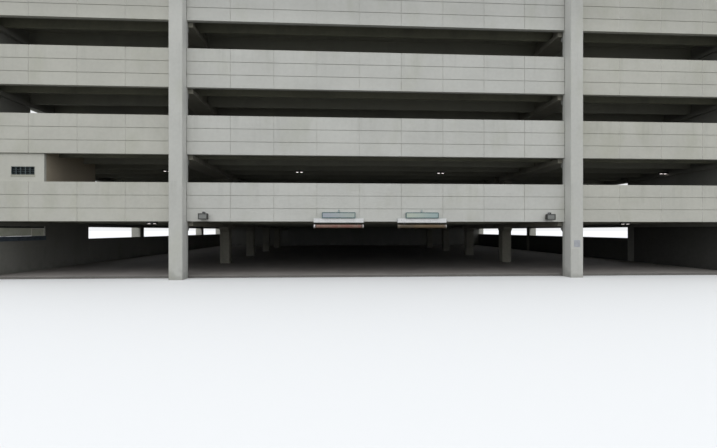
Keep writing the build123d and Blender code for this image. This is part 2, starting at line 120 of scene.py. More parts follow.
class NodeSheet:
    """Adds nodes to one tree, a material's or a group's, and joins them."""

    def __init__(self, tree: bpy.types.NodeTree) -> None:
        """Keep the tree."""
        self.tree = tree

    def add(self, kind: str, inputs: dict | None = None, **settings: object) -> bpy.types.Node:
        """Add one node.

        Args:
            kind: Blender's name of the node type.
            inputs: Values, or sockets to link from, by the input's name or number.
            **settings: Properties of the node, set before its inputs.

        Returns:
            The new node.
        """
        node = self.tree.nodes.new(kind)
        for name, value in settings.items():
            setattr(node, name, value)
        for name, value in (inputs or {}).items():
            self.give(node.inputs[name], value)
        return node

    def give(self, target: Socket, value: object) -> None:
        """Link a socket to an input, or set the input to a number, a vector or an opaque colour.

        Args:
            target: The input.
            value: Socket or plain value.
        """
        if isinstance(value, Socket):
            self.tree.links.new(value, target)
        else:
            target.default_value = (*value, 1.0) if target.type == "RGBA" else value

    def maths(self, operation: str, *values: object) -> Socket:
        """Add a Math node on numbers or sockets."""
        return self.add("ShaderNodeMath", dict(enumerate(values)), operation=operation).outputs[0]

    def product(self, first: object, *others: object) -> Socket:
        """Multiply numbers or sockets.

        Args:
            first: The first of them.
            *others: The rest.

        Returns:
            Their product.
        """
        for other in others:
            first = self.maths("MULTIPLY", first, other)
        return first

    def past(self, value: object, limit: object) -> Socket:
        """Give 1 where a value without its sign is above a limit, and 0 elsewhere."""
        return self.maths("GREATER_THAN", self.maths("ABSOLUTE", value), limit)

    def remap(self, value: object, low: float, high: float, start: float = 0.0,
              end: float = 1.0) -> Socket:
        """Map low to start and high to end, smoothly and clamped."""
        ranges = {"Value": value, "From Min": low, "From Max": high, "To Min": start, "To Max": end}
        return self.add("ShaderNodeMapRange", ranges, interpolation_type="SMOOTHSTEP").outputs["Result"]

    def mix(self, share: object, first: object, second: object, blend: str = "MIX") -> Socket:
        """Mix two colours or sockets, with a share of the second."""
        sockets = {0: share, 6: first, 7: second}
        return self.add("ShaderNodeMix", sockets, data_type="RGBA", blend_type=blend).outputs[2]

    def shade(self, colour: object, tone: object) -> Socket:
        """Multiply a colour by a brightness.

        Args:
            colour: Colour or socket.
            tone: Number or socket.

        Returns:
            The shaded colour.
        """
        grey = (tone,) * 3
        if isinstance(tone, Socket):
            grey = self.add("ShaderNodeCombineColor", dict(enumerate(grey))).outputs[0]
        return self.mix(1.0, colour, grey, "MULTIPLY")

    def noise(self, vector: object, scale: float, detail: float = 4.0,
              stretch: Triple = (1.0, 1.0, 1.0)) -> Socket:
        """Add a noise of about 0.5 in the mean, stretched along the axes.

        Args:
            vector: Coordinates.
            scale: Scale of the noise.
            detail: Its detail.
            stretch: Factors on X, Y and Z.

        Returns:
            The noise.
        """
        placed = self.add("ShaderNodeMapping", {"Vector": vector, "Scale": stretch}).outputs[0]
        sockets = {"Vector": placed, "Scale": scale, "Detail": detail}
        return self.add("ShaderNodeTexNoise", sockets).outputs[0]

    def axes(self, vector: object) -> Sockets:
        """Split coordinates into X, Y and Z."""
        return self.add("ShaderNodeSeparateXYZ", {0: vector}).outputs

    def place(self) -> Socket:
        """Object coordinates, which are the frame's own metres."""
        return self.add("ShaderNodeTexCoord").outputs["Object"]

    def facing(self) -> Sockets:
        """How far the surface faces along the piece's own X, Y and Z, each from -1 to 1."""
        return self.axes(self.add("ShaderNodeTexCoord").outputs["Normal"])

    def effect(self, effect: "Effect", **inputs: object) -> Socket:
        """Lay a shared effect on the surface's own coordinates and give its output."""
        sockets = {"Vector": self.place(), **inputs}
        return self.add("ShaderNodeGroup", sockets, node_tree=EFFECTS.tree(effect)).outputs[0]


class MaterialSheet(NodeSheet):
    """The nodes of one new material, round its Principled BSDF."""

    def __init__(self, name: str, roughness: float) -> None:
        """Make the material.

        Args:
            name: Its name.
            roughness: Roughness of the whole surface.
        """
        self.material = bpy.data.materials.new(name)
        self.material.use_nodes = True
        super().__init__(self.material.node_tree)
        self.shader = self.tree.nodes["Principled BSDF"]
        self.join("Roughness", roughness)

    def join(self, name: str, value: object) -> None:
        """Link a value to one of the shader's sockets, or set it there."""
        self.give(self.shader.inputs[name], value)

    def bump(self, height: Socket, distance: float, strength: float = 0.5) -> None:
        """Join a height to the shader's normal, with the metres that a height of 1 stands for."""
        sockets = {"Height": height, "Distance": distance, "Strength": strength}
        self.join("Normal", self.add("ShaderNodeBump", sockets).outputs[0])

    def vary_gloss(self, noise: Socket, low: float, high: float) -> None:
        """Let the roughness follow a noise between two values."""
        self.join("Roughness", self.remap(noise, 0.3, 0.7, low, high))

    def dusted(self, colour: object, dust: Colour, scale: float, low: float, high: float,
               share: float) -> Socket:
        """Lay dust on a colour, up to a share where a noise of one scale passes from low to high."""
        patches = self.remap(self.noise(self.place(), scale, 5.0), low, high, 0.0, share)
        return self.mix(patches, colour, dust)

    def glow(self, colour: Socket, strength: float) -> None:
        """Let the surface give off its own colour, if the strength isn't 0."""
        if strength:
            self.join("Emission Color", colour)
            self.join("Emission Strength", strength)


class EffectSheet(NodeSheet):
    """The nodes of one effect's group, between the group's inputs and its output."""

    LIP = 0.003  # what lies less deep than this is no groove

    def __init__(self, tree: bpy.types.NodeTree) -> None:
        """Take the inputs of a group, of which the coordinates are one."""
        super().__init__(tree)
        self.given = tree.nodes.new("NodeGroupInput").outputs
        self.spot = self.given["Vector"]

    def below_ledge(self) -> Socket:
        """Distance below the nearest ledge of a storey."""
        drop = self.maths("SUBTRACT", self.given["Top"], self.axes(self.spot)[2])
        return self.maths("FLOORED_MODULO", drop, self.given["Pitch"])

    def mottle(self) -> Socket:
        """Cloudy light and dark patches with a stain colour in the darkest.

        Returns:
            The toned colour.
        """
        coarse = self.remap(self.noise(self.spot, 0.55, 6.0), 0.25, 0.75, -1.0)
        fine = self.remap(self.noise(self.spot, 7.0, 3.0), 0.3, 0.7, -0.4, 0.4)
        spread = self.product(self.maths("ADD", coarse, fine), self.given["Mottle"])
        toned = self.shade(self.given["Colour"], self.maths("ADD", 1.0, spread))
        patches = self.remap(self.noise(self.spot, 0.9, 5.0, (1.0, 1.0, 0.45)), 0.5, 0.72)
        return self.mix(self.product(patches, self.given["Staining"]), toned, self.given["Stain"])

    def streaks(self) -> Socket:
        """Runs of rain water below each ledge of a storey.

        Returns:
            Mask of the runs.
        """
        share = self.maths("DIVIDE", self.below_ledge(), self.given["Reach"])
        fade = self.maths("MAXIMUM", self.maths("SUBTRACT", 1.0, share), 0.0)
        runs = self.remap(self.noise(self.spot, 3.2, 5.0, (1.0, 1.0, 0.07)), 0.52, 0.72)
        edge = self.remap(self.noise(self.spot, 14.0, 2.0, (1.0, 1.0, 0.1)), 0.55, 0.75, 0.0, 0.35)
        return self.product(self.maths("ADD", runs, edge), fade)

    def grain(self) -> Socket:
        """Height of a cast face: sand, small pits and a slow waviness.

        Returns:
            The height.
        """
        sand = self.product(self.noise(self.spot, 160.0, 3.0), self.given["Coarseness"])
        cells = self.add("ShaderNodeTexVoronoi", {"Vector": self.spot, "Scale": 34.0}).outputs
        pitted = self.remap(cells["Distance"], 0.02, 0.16, -0.6, 0.0)
        wave = self.product(self.noise(self.spot, 1.4, 2.0), 2.0)
        return self.maths("ADD", self.maths("ADD", sand, pitted), wave)

    def grooves(self) -> Socket:
        """Floors of the reveals: level ones hold dirt, upright ones in the outer bays get painted light
        against their shade, more of it towards +X.

        Returns:
            The colour with the grooves in it.
        """
        along, depth = (self.maths("ABSOLUTE", part) for part in self.axes(self.spot)[:2])
        masks = []
        for across, face, beside, end in ((along, "Face X", depth, "Face Y"),
                                          (depth, "Face Y", along, "Face X")):
            inside = self.maths("SUBTRACT", self.given[face], across)
            in_groove = self.product(self.maths("GREATER_THAN", inside, self.LIP),
                                     self.maths("LESS_THAN", inside, self.given["Depth"]))
            past_end = self.maths("SUBTRACT", beside, self.given[end])
            masks.append(self.product(in_groove, self.maths("LESS_THAN", past_end, self.LIP)))
        floors = self.maths("MAXIMUM", *masks)
        half_course = self.maths("DIVIDE", self.given["Course"], 2.0)
        off_course = self.maths("PINGPONG", self.below_ledge(), half_course)
        level = self.remap(off_course, 0.013, 0.03, 1.0, 0.0)
        patchy = self.remap(self.noise(self.spot, 2.5), 0.3, 0.6, 0.16, 0.3)
        dirty = self.mix(self.product(floors, level, patchy), self.given["Colour"], self.given["Dirt"])
        upright = self.product(floors, self.maths("SUBTRACT", 1.0, level))
        # Painted light in the upright grooves, growing towards +X, that lightens their shade.
        groove_light_share = self.remap(self.axes(self.spot)[0], -1.0, 1.0, 0.5, 0.88)
        return self.mix(self.product(upright, self.given["Outer"], groove_light_share), dirty, self.given["Lime"])

    def splash(self) -> Socket:
        """Darker foot of a wall, where rain splashes up from the ground.

        Returns:
            Mask of the foot.
        """
        ragged = self.remap(self.noise(self.spot, 2.2, 5.0), 0.3, 0.7, 0.4, 1.4)
        share = self.maths("DIVIDE", self.axes(self.spot)[2], self.product(self.given["Reach"], ragged))
        return self.remap(share, 0.0, 1.0, 1.0, 0.0)

    def fading(self) -> Socket:
        """Paint or plastic that the sun has bleached in patches and dirt has dulled.

        Returns:
            The faded colour.
        """
        sockets = {0: self.spot, "Scale": self.given["Scale"]}
        scaled = self.add("ShaderNodeVectorMath", sockets, operation="SCALE").outputs[0]
        bleach = self.product(self.remap(self.noise(scaled, 1.0), 0.35, 0.68), self.given["Amount"])
        faded = self.mix(bleach, self.given["Colour"], self.given["Faded"])
        grime = self.remap(self.noise(scaled, 3.4, 6.0, (1.0, 1.0, 0.5)), 0.55, 0.8)
        return self.mix(self.product(grime, self.given["Amount"]), faded, self.given["Dirt"])

    def spangle(self) -> Socket:
        """Crystals of hot-dip zinc, lighter and darker.

        Returns:
            Their brightness.
        """
        cells = self.add("ShaderNodeTexVoronoi", {"Vector": self.spot, "Scale": 90.0}).outputs
        crystals = self.remap(self.axes(cells["Color"])[0], 0.0, 1.0, 0.8, 1.05)
        return self.maths("ADD", crystals, self.remap(self.noise(self.spot, 12.0), 0.3, 0.7, -0.12, 0.1))

    def broom(self) -> Socket:
        """Fine ridges that a broom leaves across a deck, along X."""
        ridges = self.noise(self.spot, 60.0, 3.0, (0.03, 1.0, 1.0))
        return self.maths("ADD", ridges, self.noise(self.spot, 1.1, 3.0))

    def inside(self) -> Socket:
        """Mask of the upright faces under the roof deck, behind the outer walls, which take painted shade.

        Returns:
            The mask.
        """
        parts = self.axes(self.spot)
        upright = self.remap(self.facing()[2], 0.3, 0.7, 1.0, 0.0)
        masks = [self.maths("LESS_THAN", parts[2], self.given["Roof"]), upright]
        for part, face in zip(parts, ("Face X", "Face Y")):
            depth = self.maths("SUBTRACT", self.given[face], self.maths("ABSOLUTE", part))
            masks.append(self.remap(depth, 0.12, 0.2))
        return self.product(*masks)


class Effect(Enum):
    """Effects that several finishes share: name, output, inputs beside the place, and maker."""

    MOTTLE = ("mottled_tone", "Colour", ("Colour", "Stain", "Mottle", "Staining"), EffectSheet.mottle)
    STREAKS = ("rain_streaks", "Mask", ("Top", "Pitch", "Reach"), EffectSheet.streaks)
    GRAIN = ("cast_grain", "Height", ("Coarseness",), EffectSheet.grain)
    GROOVES = ("reveal_floors", "Colour", ("Colour", "Dirt", "Lime", "Face X", "Face Y", "Depth",
                                           "Top", "Pitch", "Course", "Outer"), EffectSheet.grooves)
    SPLASH = ("splash_zone", "Mask", ("Reach",), EffectSheet.splash)
    FADING = ("sun_fading", "Colour", ("Colour", "Faded", "Dirt", "Amount", "Scale"), EffectSheet.fading)
    SPANGLE = ("zinc_spangle", "Tone", (), EffectSheet.spangle)
    BROOM = ("broom_lines", "Height", (), EffectSheet.broom)
    INSIDE = ("inside_walls", "Mask", ("Face X", "Face Y", "Roof"), EffectSheet.inside)


class EffectLibrary:
    """Builds each shared effect once, as a node group."""

    COLOURS = ("Colour", "Stain", "Dirt", "Lime", "Faded")

    def __init__(self) -> None:
        """Start with no group built."""
        self._trees: dict[Effect, bpy.types.NodeTree] = {}

    def tree(self, effect: Effect) -> bpy.types.NodeTree:
        """Give the group of one effect, building it the first time.

        Args:
            effect: The effect.

        Returns:
            Its group.
        """
        if effect not in self._trees:
            name, output, inputs, maker = effect.value
            tree = bpy.data.node_groups.new(name, "ShaderNodeTree")
            tree.interface.new_socket(name="Vector", in_out="INPUT", socket_type="NodeSocketVector")
            for label, way in [*((label, "INPUT") for label in inputs), (output, "OUTPUT")]:
                kind = "NodeSocketColor" if label in self.COLOURS else "NodeSocketFloat"
                tree.interface.new_socket(name=label, in_out=way, socket_type=kind)
            made = maker(EffectSheet(tree))
            tree.links.new(made, tree.nodes.new("NodeGroupOutput").inputs[0])
            self._trees[effect] = tree
        return self._trees[effect]


EFFECTS = EffectLibrary()


@dataclass(frozen=True)
class Finish:
    """A finish, built once as a material, its colours in linear light."""

    name: str
    colour: Colour
    roughness: float = 0.6
    metallic: float = 0.0  # 1 for bare metal

    def material(self) -> bpy.types.Material:
        """Give the material, building it the first time.

        Returns:
            The material.
        """
        made = bpy.data.materials.get(self.name)
        if made is None:
            sheet = MaterialSheet(self.name, self.roughness)
            sheet.join("Metallic", self.metallic)
            self.paint(sheet)
            made = sheet.material
        return made

    def paint(self, sheet: MaterialSheet) -> None:
        """Give the surface its colours and relief."""
        raise NotImplementedError


@dataclass(frozen=True)
class CastConcrete(Finish):
    """Light precast concrete of the outside, with rain runs, dirty grooves and a dark foot."""

    stain: Colour = (0.3, 0.31, 0.2)  # colour of algae and soot patches
    grime: Colour = (0.13, 0.13, 0.105)  # colour of runs and of dirty grooves
    lime: Colour = (0.72, 0.71, 0.67)  # colour of painted light, laid on the sides of the columns and in the upright grooves of the outer bays
    face_x: float = 18.07  # distance of the side faces from the middle
    face_y: float = 18.52  # distance of the front face from the middle
    groove_depth: float = 0.026
    inner_shade: float = 0.45  # painted shade: brightness of the faces inside the building, beside the outer ones
    sill: float = 4.38  # height of the top of the lowest spandrel
    storey: float = 3.05
    course: float = 0.59  # height of a course between two level reveals
    roof: float = 12.45  # height of the top deck
    bay_edge: float = 9.45  # distance of the outer bays from the middle
    outer_tone: Colour = (0.935, 0.925, 0.885)  # painted shade on the outer bays' panels, as a colour beside the middle bay's
    crown_tone: float = 0.9  # brightness of the darkened parapet, beside the spandrels below
    washed_side: float = 0.42  # share of painted light on the sides of the columns
    run_length: float = 1.5
    foot: float = 0.55  # height of the dark foot

    def paint(self, sheet: MaterialSheet) -> None:
        """Mottle the face, then add rain runs, groove dirt and splashed feet.

        Args:
            sheet: The material's sheet.
        """
        place = sheet.place()
        along, depth, height = sheet.axes(place)
        storeys = {"Top": self.sill, "Pitch": self.storey}
        faces = {"Face X": self.face_x, "Face Y": self.face_y}
        colour = sheet.effect(Effect.MOTTLE, Colour=self.colour, Stain=self.stain, Mottle=0.045,
                              Staining=0.16)
        runs = sheet.effect(Effect.STREAKS, Reach=self.run_length, **storeys)
        colour = sheet.mix(sheet.product(runs, 0.11), colour, self.grime)
        outer = sheet.remap(sheet.maths("ABSOLUTE", along), self.bay_edge, self.bay_edge + 0.12)
        # Painted shade: the outer bays are made a little darker than the middle one.
        colour = sheet.mix(outer, colour, sheet.mix(1.0, colour, self.outer_tone, "MULTIPLY"))
        proud = sheet.past(depth, self.face_y + 0.01)
        # Painted light: the sides of the front columns that face along X are lightened.
        column_side = sheet.product(proud, sheet.past(sheet.facing()[0], 0.8), self.washed_side)
        colour = sheet.mix(column_side, colour, self.lime)
        crown = sheet.remap(height, self.roof - 0.9, self.roof + 0.3)
        colour = sheet.mix(crown, colour, sheet.shade(colour, self.crown_tone))
        colour = sheet.effect(Effect.GROOVES, Colour=colour, Dirt=self.grime, Lime=self.lime, Outer=outer,
                              Depth=self.groove_depth, Course=self.course, **storeys, **faces)
        splashed = sheet.product(sheet.effect(Effect.SPLASH, Reach=self.foot), 0.35)
        colour = sheet.mix(splashed, colour, self.grime)
        # Painted shade: upright faces inside the building, below the roof deck, are darkened.
        inner = sheet.effect(Effect.INSIDE, Roof=self.roof, **faces)
        sheet.join("Base Color", sheet.mix(inner, colour, sheet.shade(colour, self.inner_shade)))
        sheet.bump(sheet.effect(Effect.GRAIN, Coarseness=0.7), 0.0022, 0.55)
        sheet.vary_gloss(sheet.noise(place, 5.0), self.roughness - 0.06, self.roughness + 0.06)


@dataclass(frozen=True)
class DeckConcrete(Finish):
    """Parking deck: worn and tyre-dark on top; underneath, a darker olive copy of its colour paints the
    shade.
    """

    soffit: Colour = (0.17, 0.17, 0.13)  # colour of what faces down or sideways, darker and more olive than the top: painted shade
    tyre: Colour = (0.07, 0.068, 0.062)  # colour that tyres leave
    clean: Colour = (0.8, 0.79, 0.74)  # colour of the painted light on the soffit deep inside
    paling: float = 0.0  # share of it in the soffit deep inside
    shelter: float = 15.5  # distance from the middle, along Y, inside which the soffit takes its full painted light

    def paint(self, sheet: MaterialSheet) -> None:
        """Tell top from soffit by the surface's own direction.

        Args:
            sheet: The material's sheet.
        """
        place = sheet.place()
        top = sheet.effect(Effect.MOTTLE, Colour=self.colour, Stain=self.tyre, Mottle=0.07, Staining=0.16)
        wear = sheet.remap(sheet.noise(place, 0.35, 5.0, (1.0, 0.3, 1.0)), 0.48, 0.72, 0.0, 0.26)
        top = sheet.mix(wear, top, self.tyre)
        # Painted shade: what faces down or sideways takes a darker, olive copy of the concrete.
        painted_shade_below = sheet.effect(Effect.MOTTLE, Colour=self.soffit, Stain=self.tyre, Mottle=0.12, Staining=0.35)
        outward = sheet.maths("ABSOLUTE", sheet.axes(place)[1])
        # Painted light: the soffit is lightened deep inside the building.
        deep_light_share = sheet.remap(outward, self.shelter, self.shelter + 1.5, self.paling, 0.0)
        painted_shade_below = sheet.mix(deep_light_share, painted_shade_below, self.clean)
        is_top = sheet.maths("GREATER_THAN", sheet.facing()[2], 0.5)
        sheet.join("Base Color", sheet.mix(is_top, painted_shade_below, top))
        ridges = sheet.product(sheet.effect(Effect.BROOM), is_top)
        sheet.bump(sheet.maths("ADD", ridges, sheet.effect(Effect.GRAIN, Coarseness=0.5)), 0.0025, 0.6)


@dataclass(frozen=True)
class PaintedWall(Finish):
    """Painted infill, a little dirty and rolled smooth."""

    dirt: Colour = (0.2, 0.19, 0.15)

    def paint(self, sheet: MaterialSheet) -> None:
        """Mottle the paint and give it a roller's texture."""
        sheet.join("Base Color", sheet.effect(Effect.MOTTLE, Colour=self.colour, Stain=self.dirt,
                                              Mottle=0.04, Staining=0.1))
        sheet.bump(sheet.noise(sheet.place(), 90.0, 3.0), 0.0012)


@dataclass(frozen=True)
class CoatedMetal(Finish):
    """Painted or anodised sheet metal with faded patches and a light orange-peel relief."""

    faded: Colour = (0.3, 0.32, 0.34)  # colour where the sun has bleached it
    dirt: Colour = (0.08, 0.08, 0.07)
    amount: float = 0.4  # how much of both shows
    scale: float = 4.0  # patches to a metre

    def paint(self, sheet: MaterialSheet) -> None:
        """Fade and soil the coat.

        Args:
            sheet: The material's sheet.
        """
        place = sheet.place()
        sheet.join("Base Color", sheet.effect(Effect.FADING, Colour=self.colour, Faded=self.faded,
                                              Dirt=self.dirt, Amount=self.amount, Scale=self.scale))
        sheet.vary_gloss(sheet.noise(place, 9.0), self.roughness - 0.1, self.roughness + 0.12)
        sheet.bump(sheet.noise(place, 220.0, 2.0), 0.0003)


@dataclass(frozen=True)
class Galvanised(Finish):
    """Hot-dip galvanised steel, gone dull outdoors."""

    def paint(self, sheet: MaterialSheet) -> None:
        """Shade the zinc crystals.

        Args:
            sheet: The material's sheet.
        """
        tone = sheet.effect(Effect.SPANGLE)
        sheet.join("Base Color", sheet.shade(self.colour, tone))
        sheet.join("Roughness", sheet.remap(tone, 0.7, 1.1, 0.62, 0.42))
        sheet.bump(tone, 0.0002, 0.4)


@dataclass(frozen=True)
class Plastic(Finish):
    """Plastic tube or cap: bleached along its top, dirty below and scuffed."""

    faded: Colour = (0.8, 0.7, 0.6)  # colour where the sun has bleached it
    dirt: Colour = (0.2, 0.15, 0.1)
    amount: float = 0.5  # how much of both shows
    worn: tuple[float, float] = (-100.0, -99.0)  # range of X in which the colour is dull
    dullness: float = 0.55
    blend: float = 0.12  # half the length over which the dull span begins and ends
    glow: float = 0.0  # strength of painted light: the board gives off its own colour for the daylight that comes through it

    def paint(self, sheet: MaterialSheet) -> None:
        """Bleach the top, soil the underside and scuff the length.

        Args:
            sheet: The material's sheet.
        """
        place = sheet.place()
        upward = sheet.facing()[2]
        colour = sheet.effect(Effect.FADING, Colour=self.colour, Faded=self.faded, Dirt=self.dirt,
                              Amount=self.amount, Scale=3.0)
        colour = sheet.mix(sheet.remap(upward, 0.3, 1.0, 0.0, 0.35), colour, self.faded)
        colour = sheet.mix(sheet.remap(upward, -0.2, -1.0, 0.0, 0.45), colour, self.dirt)
        along = sheet.axes(place)[0]
        start, end = self.worn
        begun = sheet.remap(along, start - self.blend, start + self.blend, 0.0, self.dullness)
        ended = sheet.remap(along, end - self.blend, end + self.blend, 1.0, 0.0)
        colour = sheet.mix(sheet.product(begun, ended), colour, self.dirt)
        sheet.join("Base Color", colour)
        scuffs = sheet.noise(place, 30.0, 4.0, (0.15, 1.0, 1.0))
        sheet.bump(scuffs, 0.0006)
        sheet.vary_gloss(scuffs, self.roughness - 0.12, self.roughness + 0.1)
        sheet.glow(colour, self.glow)


@dataclass(frozen=True)
class PanelFace(Finish):
    """Translucent face of a sign case: pale, with a soft tint that drifts along it."""

    tint: Colour = (0.55, 0.72, 0.72)  # colour towards one end
    middle: float = 0.0  # X at which the two colours meet
    reach: float = 0.8  # metres over which they blend
    dust: Colour = (0.4, 0.42, 0.38)

    def paint(self, sheet: MaterialSheet) -> None:
        """Drift from one tint to the other and speckle with dust.

        Args:
            sheet: The material's sheet.
        """
        place = sheet.place()
        drift = sheet.remap(sheet.axes(place)[0], self.middle - self.reach, self.middle + self.reach)
        colour = sheet.mix(drift, self.colour, self.tint)
        sheet.join("Base Color", sheet.dusted(colour, self.dust, 18.0, 0.55, 0.8, 0.3))
        sheet.bump(sheet.noise(place, 6.0, 2.0), 0.002, 0.4)
        sheet.join("Coat Weight", 0.3)
        sheet.join("Coat Roughness", 0.2)


@dataclass(frozen=True)
class RibbedLens(Finish):
    """Prismatic lamp glass with fine upright ribs."""

    pitch: float = 60.0  # ribs to a metre
    glow: float = 0.0  # strength of its own light
    dust: Colour = (0.3, 0.3, 0.26)

    def paint(self, sheet: MaterialSheet) -> None:
        """Rib the glass and let its colour follow the ribs.

        Args:
            sheet: The material's sheet.
        """
        angle = sheet.product(sheet.axes(sheet.place())[0], self.pitch * 2 * math.pi)
        ribs = sheet.maths("SINE", angle)
        ribbed = sheet.shade(self.colour, sheet.remap(ribs, -1.0, 1.0, 0.86, 1.0))
        colour = sheet.dusted(ribbed, self.dust, 14.0, 0.5, 0.75, 0.25)
        sheet.join("Base Color", colour)
        sheet.bump(ribs, 0.001)
        sheet.join("Coat Weight", 0.5)
        sheet.glow(colour, self.glow)


@dataclass(frozen=True)
class Sealant(Finish):
    """Elastic joint filler with a tooled, slightly wrinkled face."""

    dust: Colour = (0.2, 0.2, 0.17)

    def paint(self, sheet: MaterialSheet) -> None:
        """Wrinkle the bead and dust it."""
        sheet.join("Base Color", sheet.dusted(self.colour, self.dust, 8.0, 0.4, 0.7, 0.5))
        sheet.bump(sheet.noise(sheet.place(), 45.0, 3.0), 0.0015)


class Palette:
    """The garage's finishes, by what they cover."""

    FACADE = CastConcrete("facade_precast", (0.505, 0.503, 0.465), 0.88)
    # Facade concrete with a much deeper painted shade on its inside faces, for the right ground walls.
    DARK_WALL = CastConcrete("facade_precast_dark_inside", (0.505, 0.503, 0.465), 0.88, inner_shade=0.12)
    DECK = DeckConcrete("deck_precast", (0.34, 0.332, 0.305), 0.85, soffit=(0.172, 0.17, 0.125),
                        paling=0.16)
    INNER = DeckConcrete("inner_precast", (0.34, 0.332, 0.305), 0.86, soffit=(0.215, 0.205, 0.165))
    FLOOR = DeckConcrete("ground_slab_concrete", (0.26, 0.24, 0.222), 0.8, soffit=(0.13, 0.124, 0.112),
                         tyre=(0.11, 0.1, 0.093))
    ROOM_WALL = PaintedWall("room_wall_paint", (0.475, 0.468, 0.412), 0.7)
    ROOM_RETURN = PaintedWall("room_return_paint", (0.37, 0.315, 0.235), 0.75, dirt=(0.12, 0.1, 0.08))
    ROOM_SILL = PaintedWall("room_sill_paint", (0.34, 0.338, 0.275), 0.7)
    COPING = CoatedMetal("coping_coated_sheet", (0.075, 0.095, 0.12), 0.42, faded=(0.15, 0.175, 0.2))
    LOUVRE = CoatedMetal("louvre_anodised", (0.045, 0.062, 0.064), 0.4, 0.3, faded=(0.09, 0.11, 0.11))
    SCREEN = CoatedMetal("insect_screen", (0.008, 0.01, 0.01), 0.8, scale=30.0, faded=(0.02, 0.025, 0.025))
    SIGN_CASE = CoatedMetal("sign_case_enamel", (0.3, 0.35, 0.34), 0.4, faded=(0.4, 0.45, 0.43),
                            dirt=(0.16, 0.17, 0.15))
    SIGN_FRAME = CoatedMetal("sign_frame_teal", (0.022, 0.08, 0.085), 0.38, faded=(0.06, 0.14, 0.145),
                             dirt=(0.02, 0.04, 0.04))
    SIGN_FACE = PanelFace("sign_face_pale_green", (0.4, 0.44, 0.36), 0.3, tint=(0.28, 0.36, 0.35),
                          middle=1.94)
    SIGN_FACE_BLUE = PanelFace("sign_face_pale_blue", (0.31, 0.335, 0.37), 0.3, tint=(0.34, 0.38, 0.34),
                               middle=-1.94)
    LOWER_FACE = CoatedMetal("lower_panel_white", (0.62, 0.62, 0.61), 0.42, faded=(0.72, 0.72, 0.7),
                             dirt=(0.3, 0.29, 0.27), amount=0.55, scale=5.0)
    # The bars' colours are much darker than the real tubes: painted shade of the deck above them.
    BAR_LEFT = Plastic("bar_tube_red", (0.17, 0.068, 0.05), 0.5, faded=(0.2, 0.135, 0.1),
                       dirt=(0.075, 0.045, 0.035), amount=0.85)
    BAR_RIGHT = Plastic("bar_tube_amber", (0.08, 0.045, 0.012), 0.5, faded=(0.1, 0.07, 0.034),
                        dirt=(0.032, 0.026, 0.012), amount=0.7, worn=(-100.0, 1.56), dullness=0.6)
    CAP_LEFT = Plastic("bar_cap_white_left", (0.6, 0.58, 0.57), 0.45, faded=(0.66, 0.64, 0.62),
                       dirt=(0.15, 0.1, 0.08), amount=0.2, worn=(-3.025, -0.825), dullness=0.95, blend=0.003)
    CAP_RIGHT = Plastic("bar_cap_white_right", (0.5, 0.48, 0.44), 0.45, faded=(0.6, 0.58, 0.54),
                        dirt=(0.08, 0.062, 0.032), amount=0.2, worn=(-100.0, 3.055), dullness=0.95,
                        blend=0.003)
    BAND = Plastic("bar_band_brown", (0.08, 0.055, 0.04), 0.45, faded=(0.12, 0.09, 0.07),
                   dirt=(0.04, 0.03, 0.025))
    RAIL = CoatedMetal("guide_rail_dark", (0.02, 0.021, 0.02), 0.5, faded=(0.04, 0.042, 0.04))
    STEEL = Galvanised("galvanised_steel", (0.4, 0.405, 0.4), 0.5, 0.5)
    DULL_STEEL = Galvanised("galvanised_steel_dull", (0.1, 0.1, 0.097), 0.65, 0.4)
    LAMP_BODY = CoatedMetal("floodlight_casting", (0.02, 0.02, 0.017), 0.5, faded=(0.04, 0.04, 0.035),
                            scale=9.0)
    LAMP_GLASS = RibbedLens("floodlight_glass", (0.15, 0.154, 0.138), 0.3, pitch=34.0)
    CEILING_CASE = CoatedMetal("ceiling_lamp_case", (0.05, 0.05, 0.045), 0.45, faded=(0.08, 0.08, 0.07),
                               scale=5.0)
    CEILING_LENS = RibbedLens("ceiling_lamp_lens", (0.95, 0.86, 0.84), 0.3, pitch=120.0, glow=2.2)
    # The board and its panel glow with painted light, for daylight coming through them.
    BOARD = Plastic("guide_board_cream", (0.56, 0.57, 0.46), 0.55, faded=(0.66, 0.66, 0.58),
                    dirt=(0.24, 0.23, 0.17), glow=0.045)
    BOARD_LIGHT = Plastic("guide_panel_pale", (0.7, 0.68, 0.63), 0.5, faded=(0.8, 0.78, 0.73),
                          dirt=(0.35, 0.33, 0.29), glow=0.08)
    PLATE = CoatedMetal("column_plate_enamel", (0.33, 0.34, 0.36), 0.4, faded=(0.45, 0.46, 0.48), scale=9.0)
    JOINT = Sealant("joint_sealant", (0.12, 0.12, 0.105), 0.75)
    DECK_JOINT = Sealant("deck_joint_sealant", (0.045, 0.045, 0.042), 0.7)


@dataclass(frozen=True)
class Disc:
    """A round or many-sided disc of a fastener or a lamp."""

    rise: float  # distance of its middle from its seat
    radius: float  # radius at its back
    length: float
    sides: int
    taper: float = 1.0  # radius at its front, beside the one at its back


class Fastener(Enum):
    """Fasteners, each a stack of discs."""

    SIGN_SCREW = (Disc(0.002, 0.008, 0.004, 10, 0.7),)
    POST_BOLT = (Disc(0.034, 0.016, 0.012, 6), Disc(0.044, 0.01, 0.02, 12))
    SADDLE_BOLT = (Disc(0.003, 0.009, 0.006, 6), Disc(0.007, 0.005, 0.006, 10))
    PIN_HEAD = (Disc(0.001, 0.015, 0.002, 20), Disc(0.005, 0.012, 0.006, 6))
    SPLIT_PIN = (Disc(0.0, 0.0018, 0.034, 8),)
    BEZEL_SCREW = (Disc(0.001, 0.006, 0.004, 10),)
    WALL_BOLT = (Disc(0.004, 0.01, 0.008, 6),)
    ARM_BOLT = (Disc(0.034, 0.016, 0.01, 6),)
    PLATE_BOLT = (Disc(0.003, 0.008, 0.006, 6),)


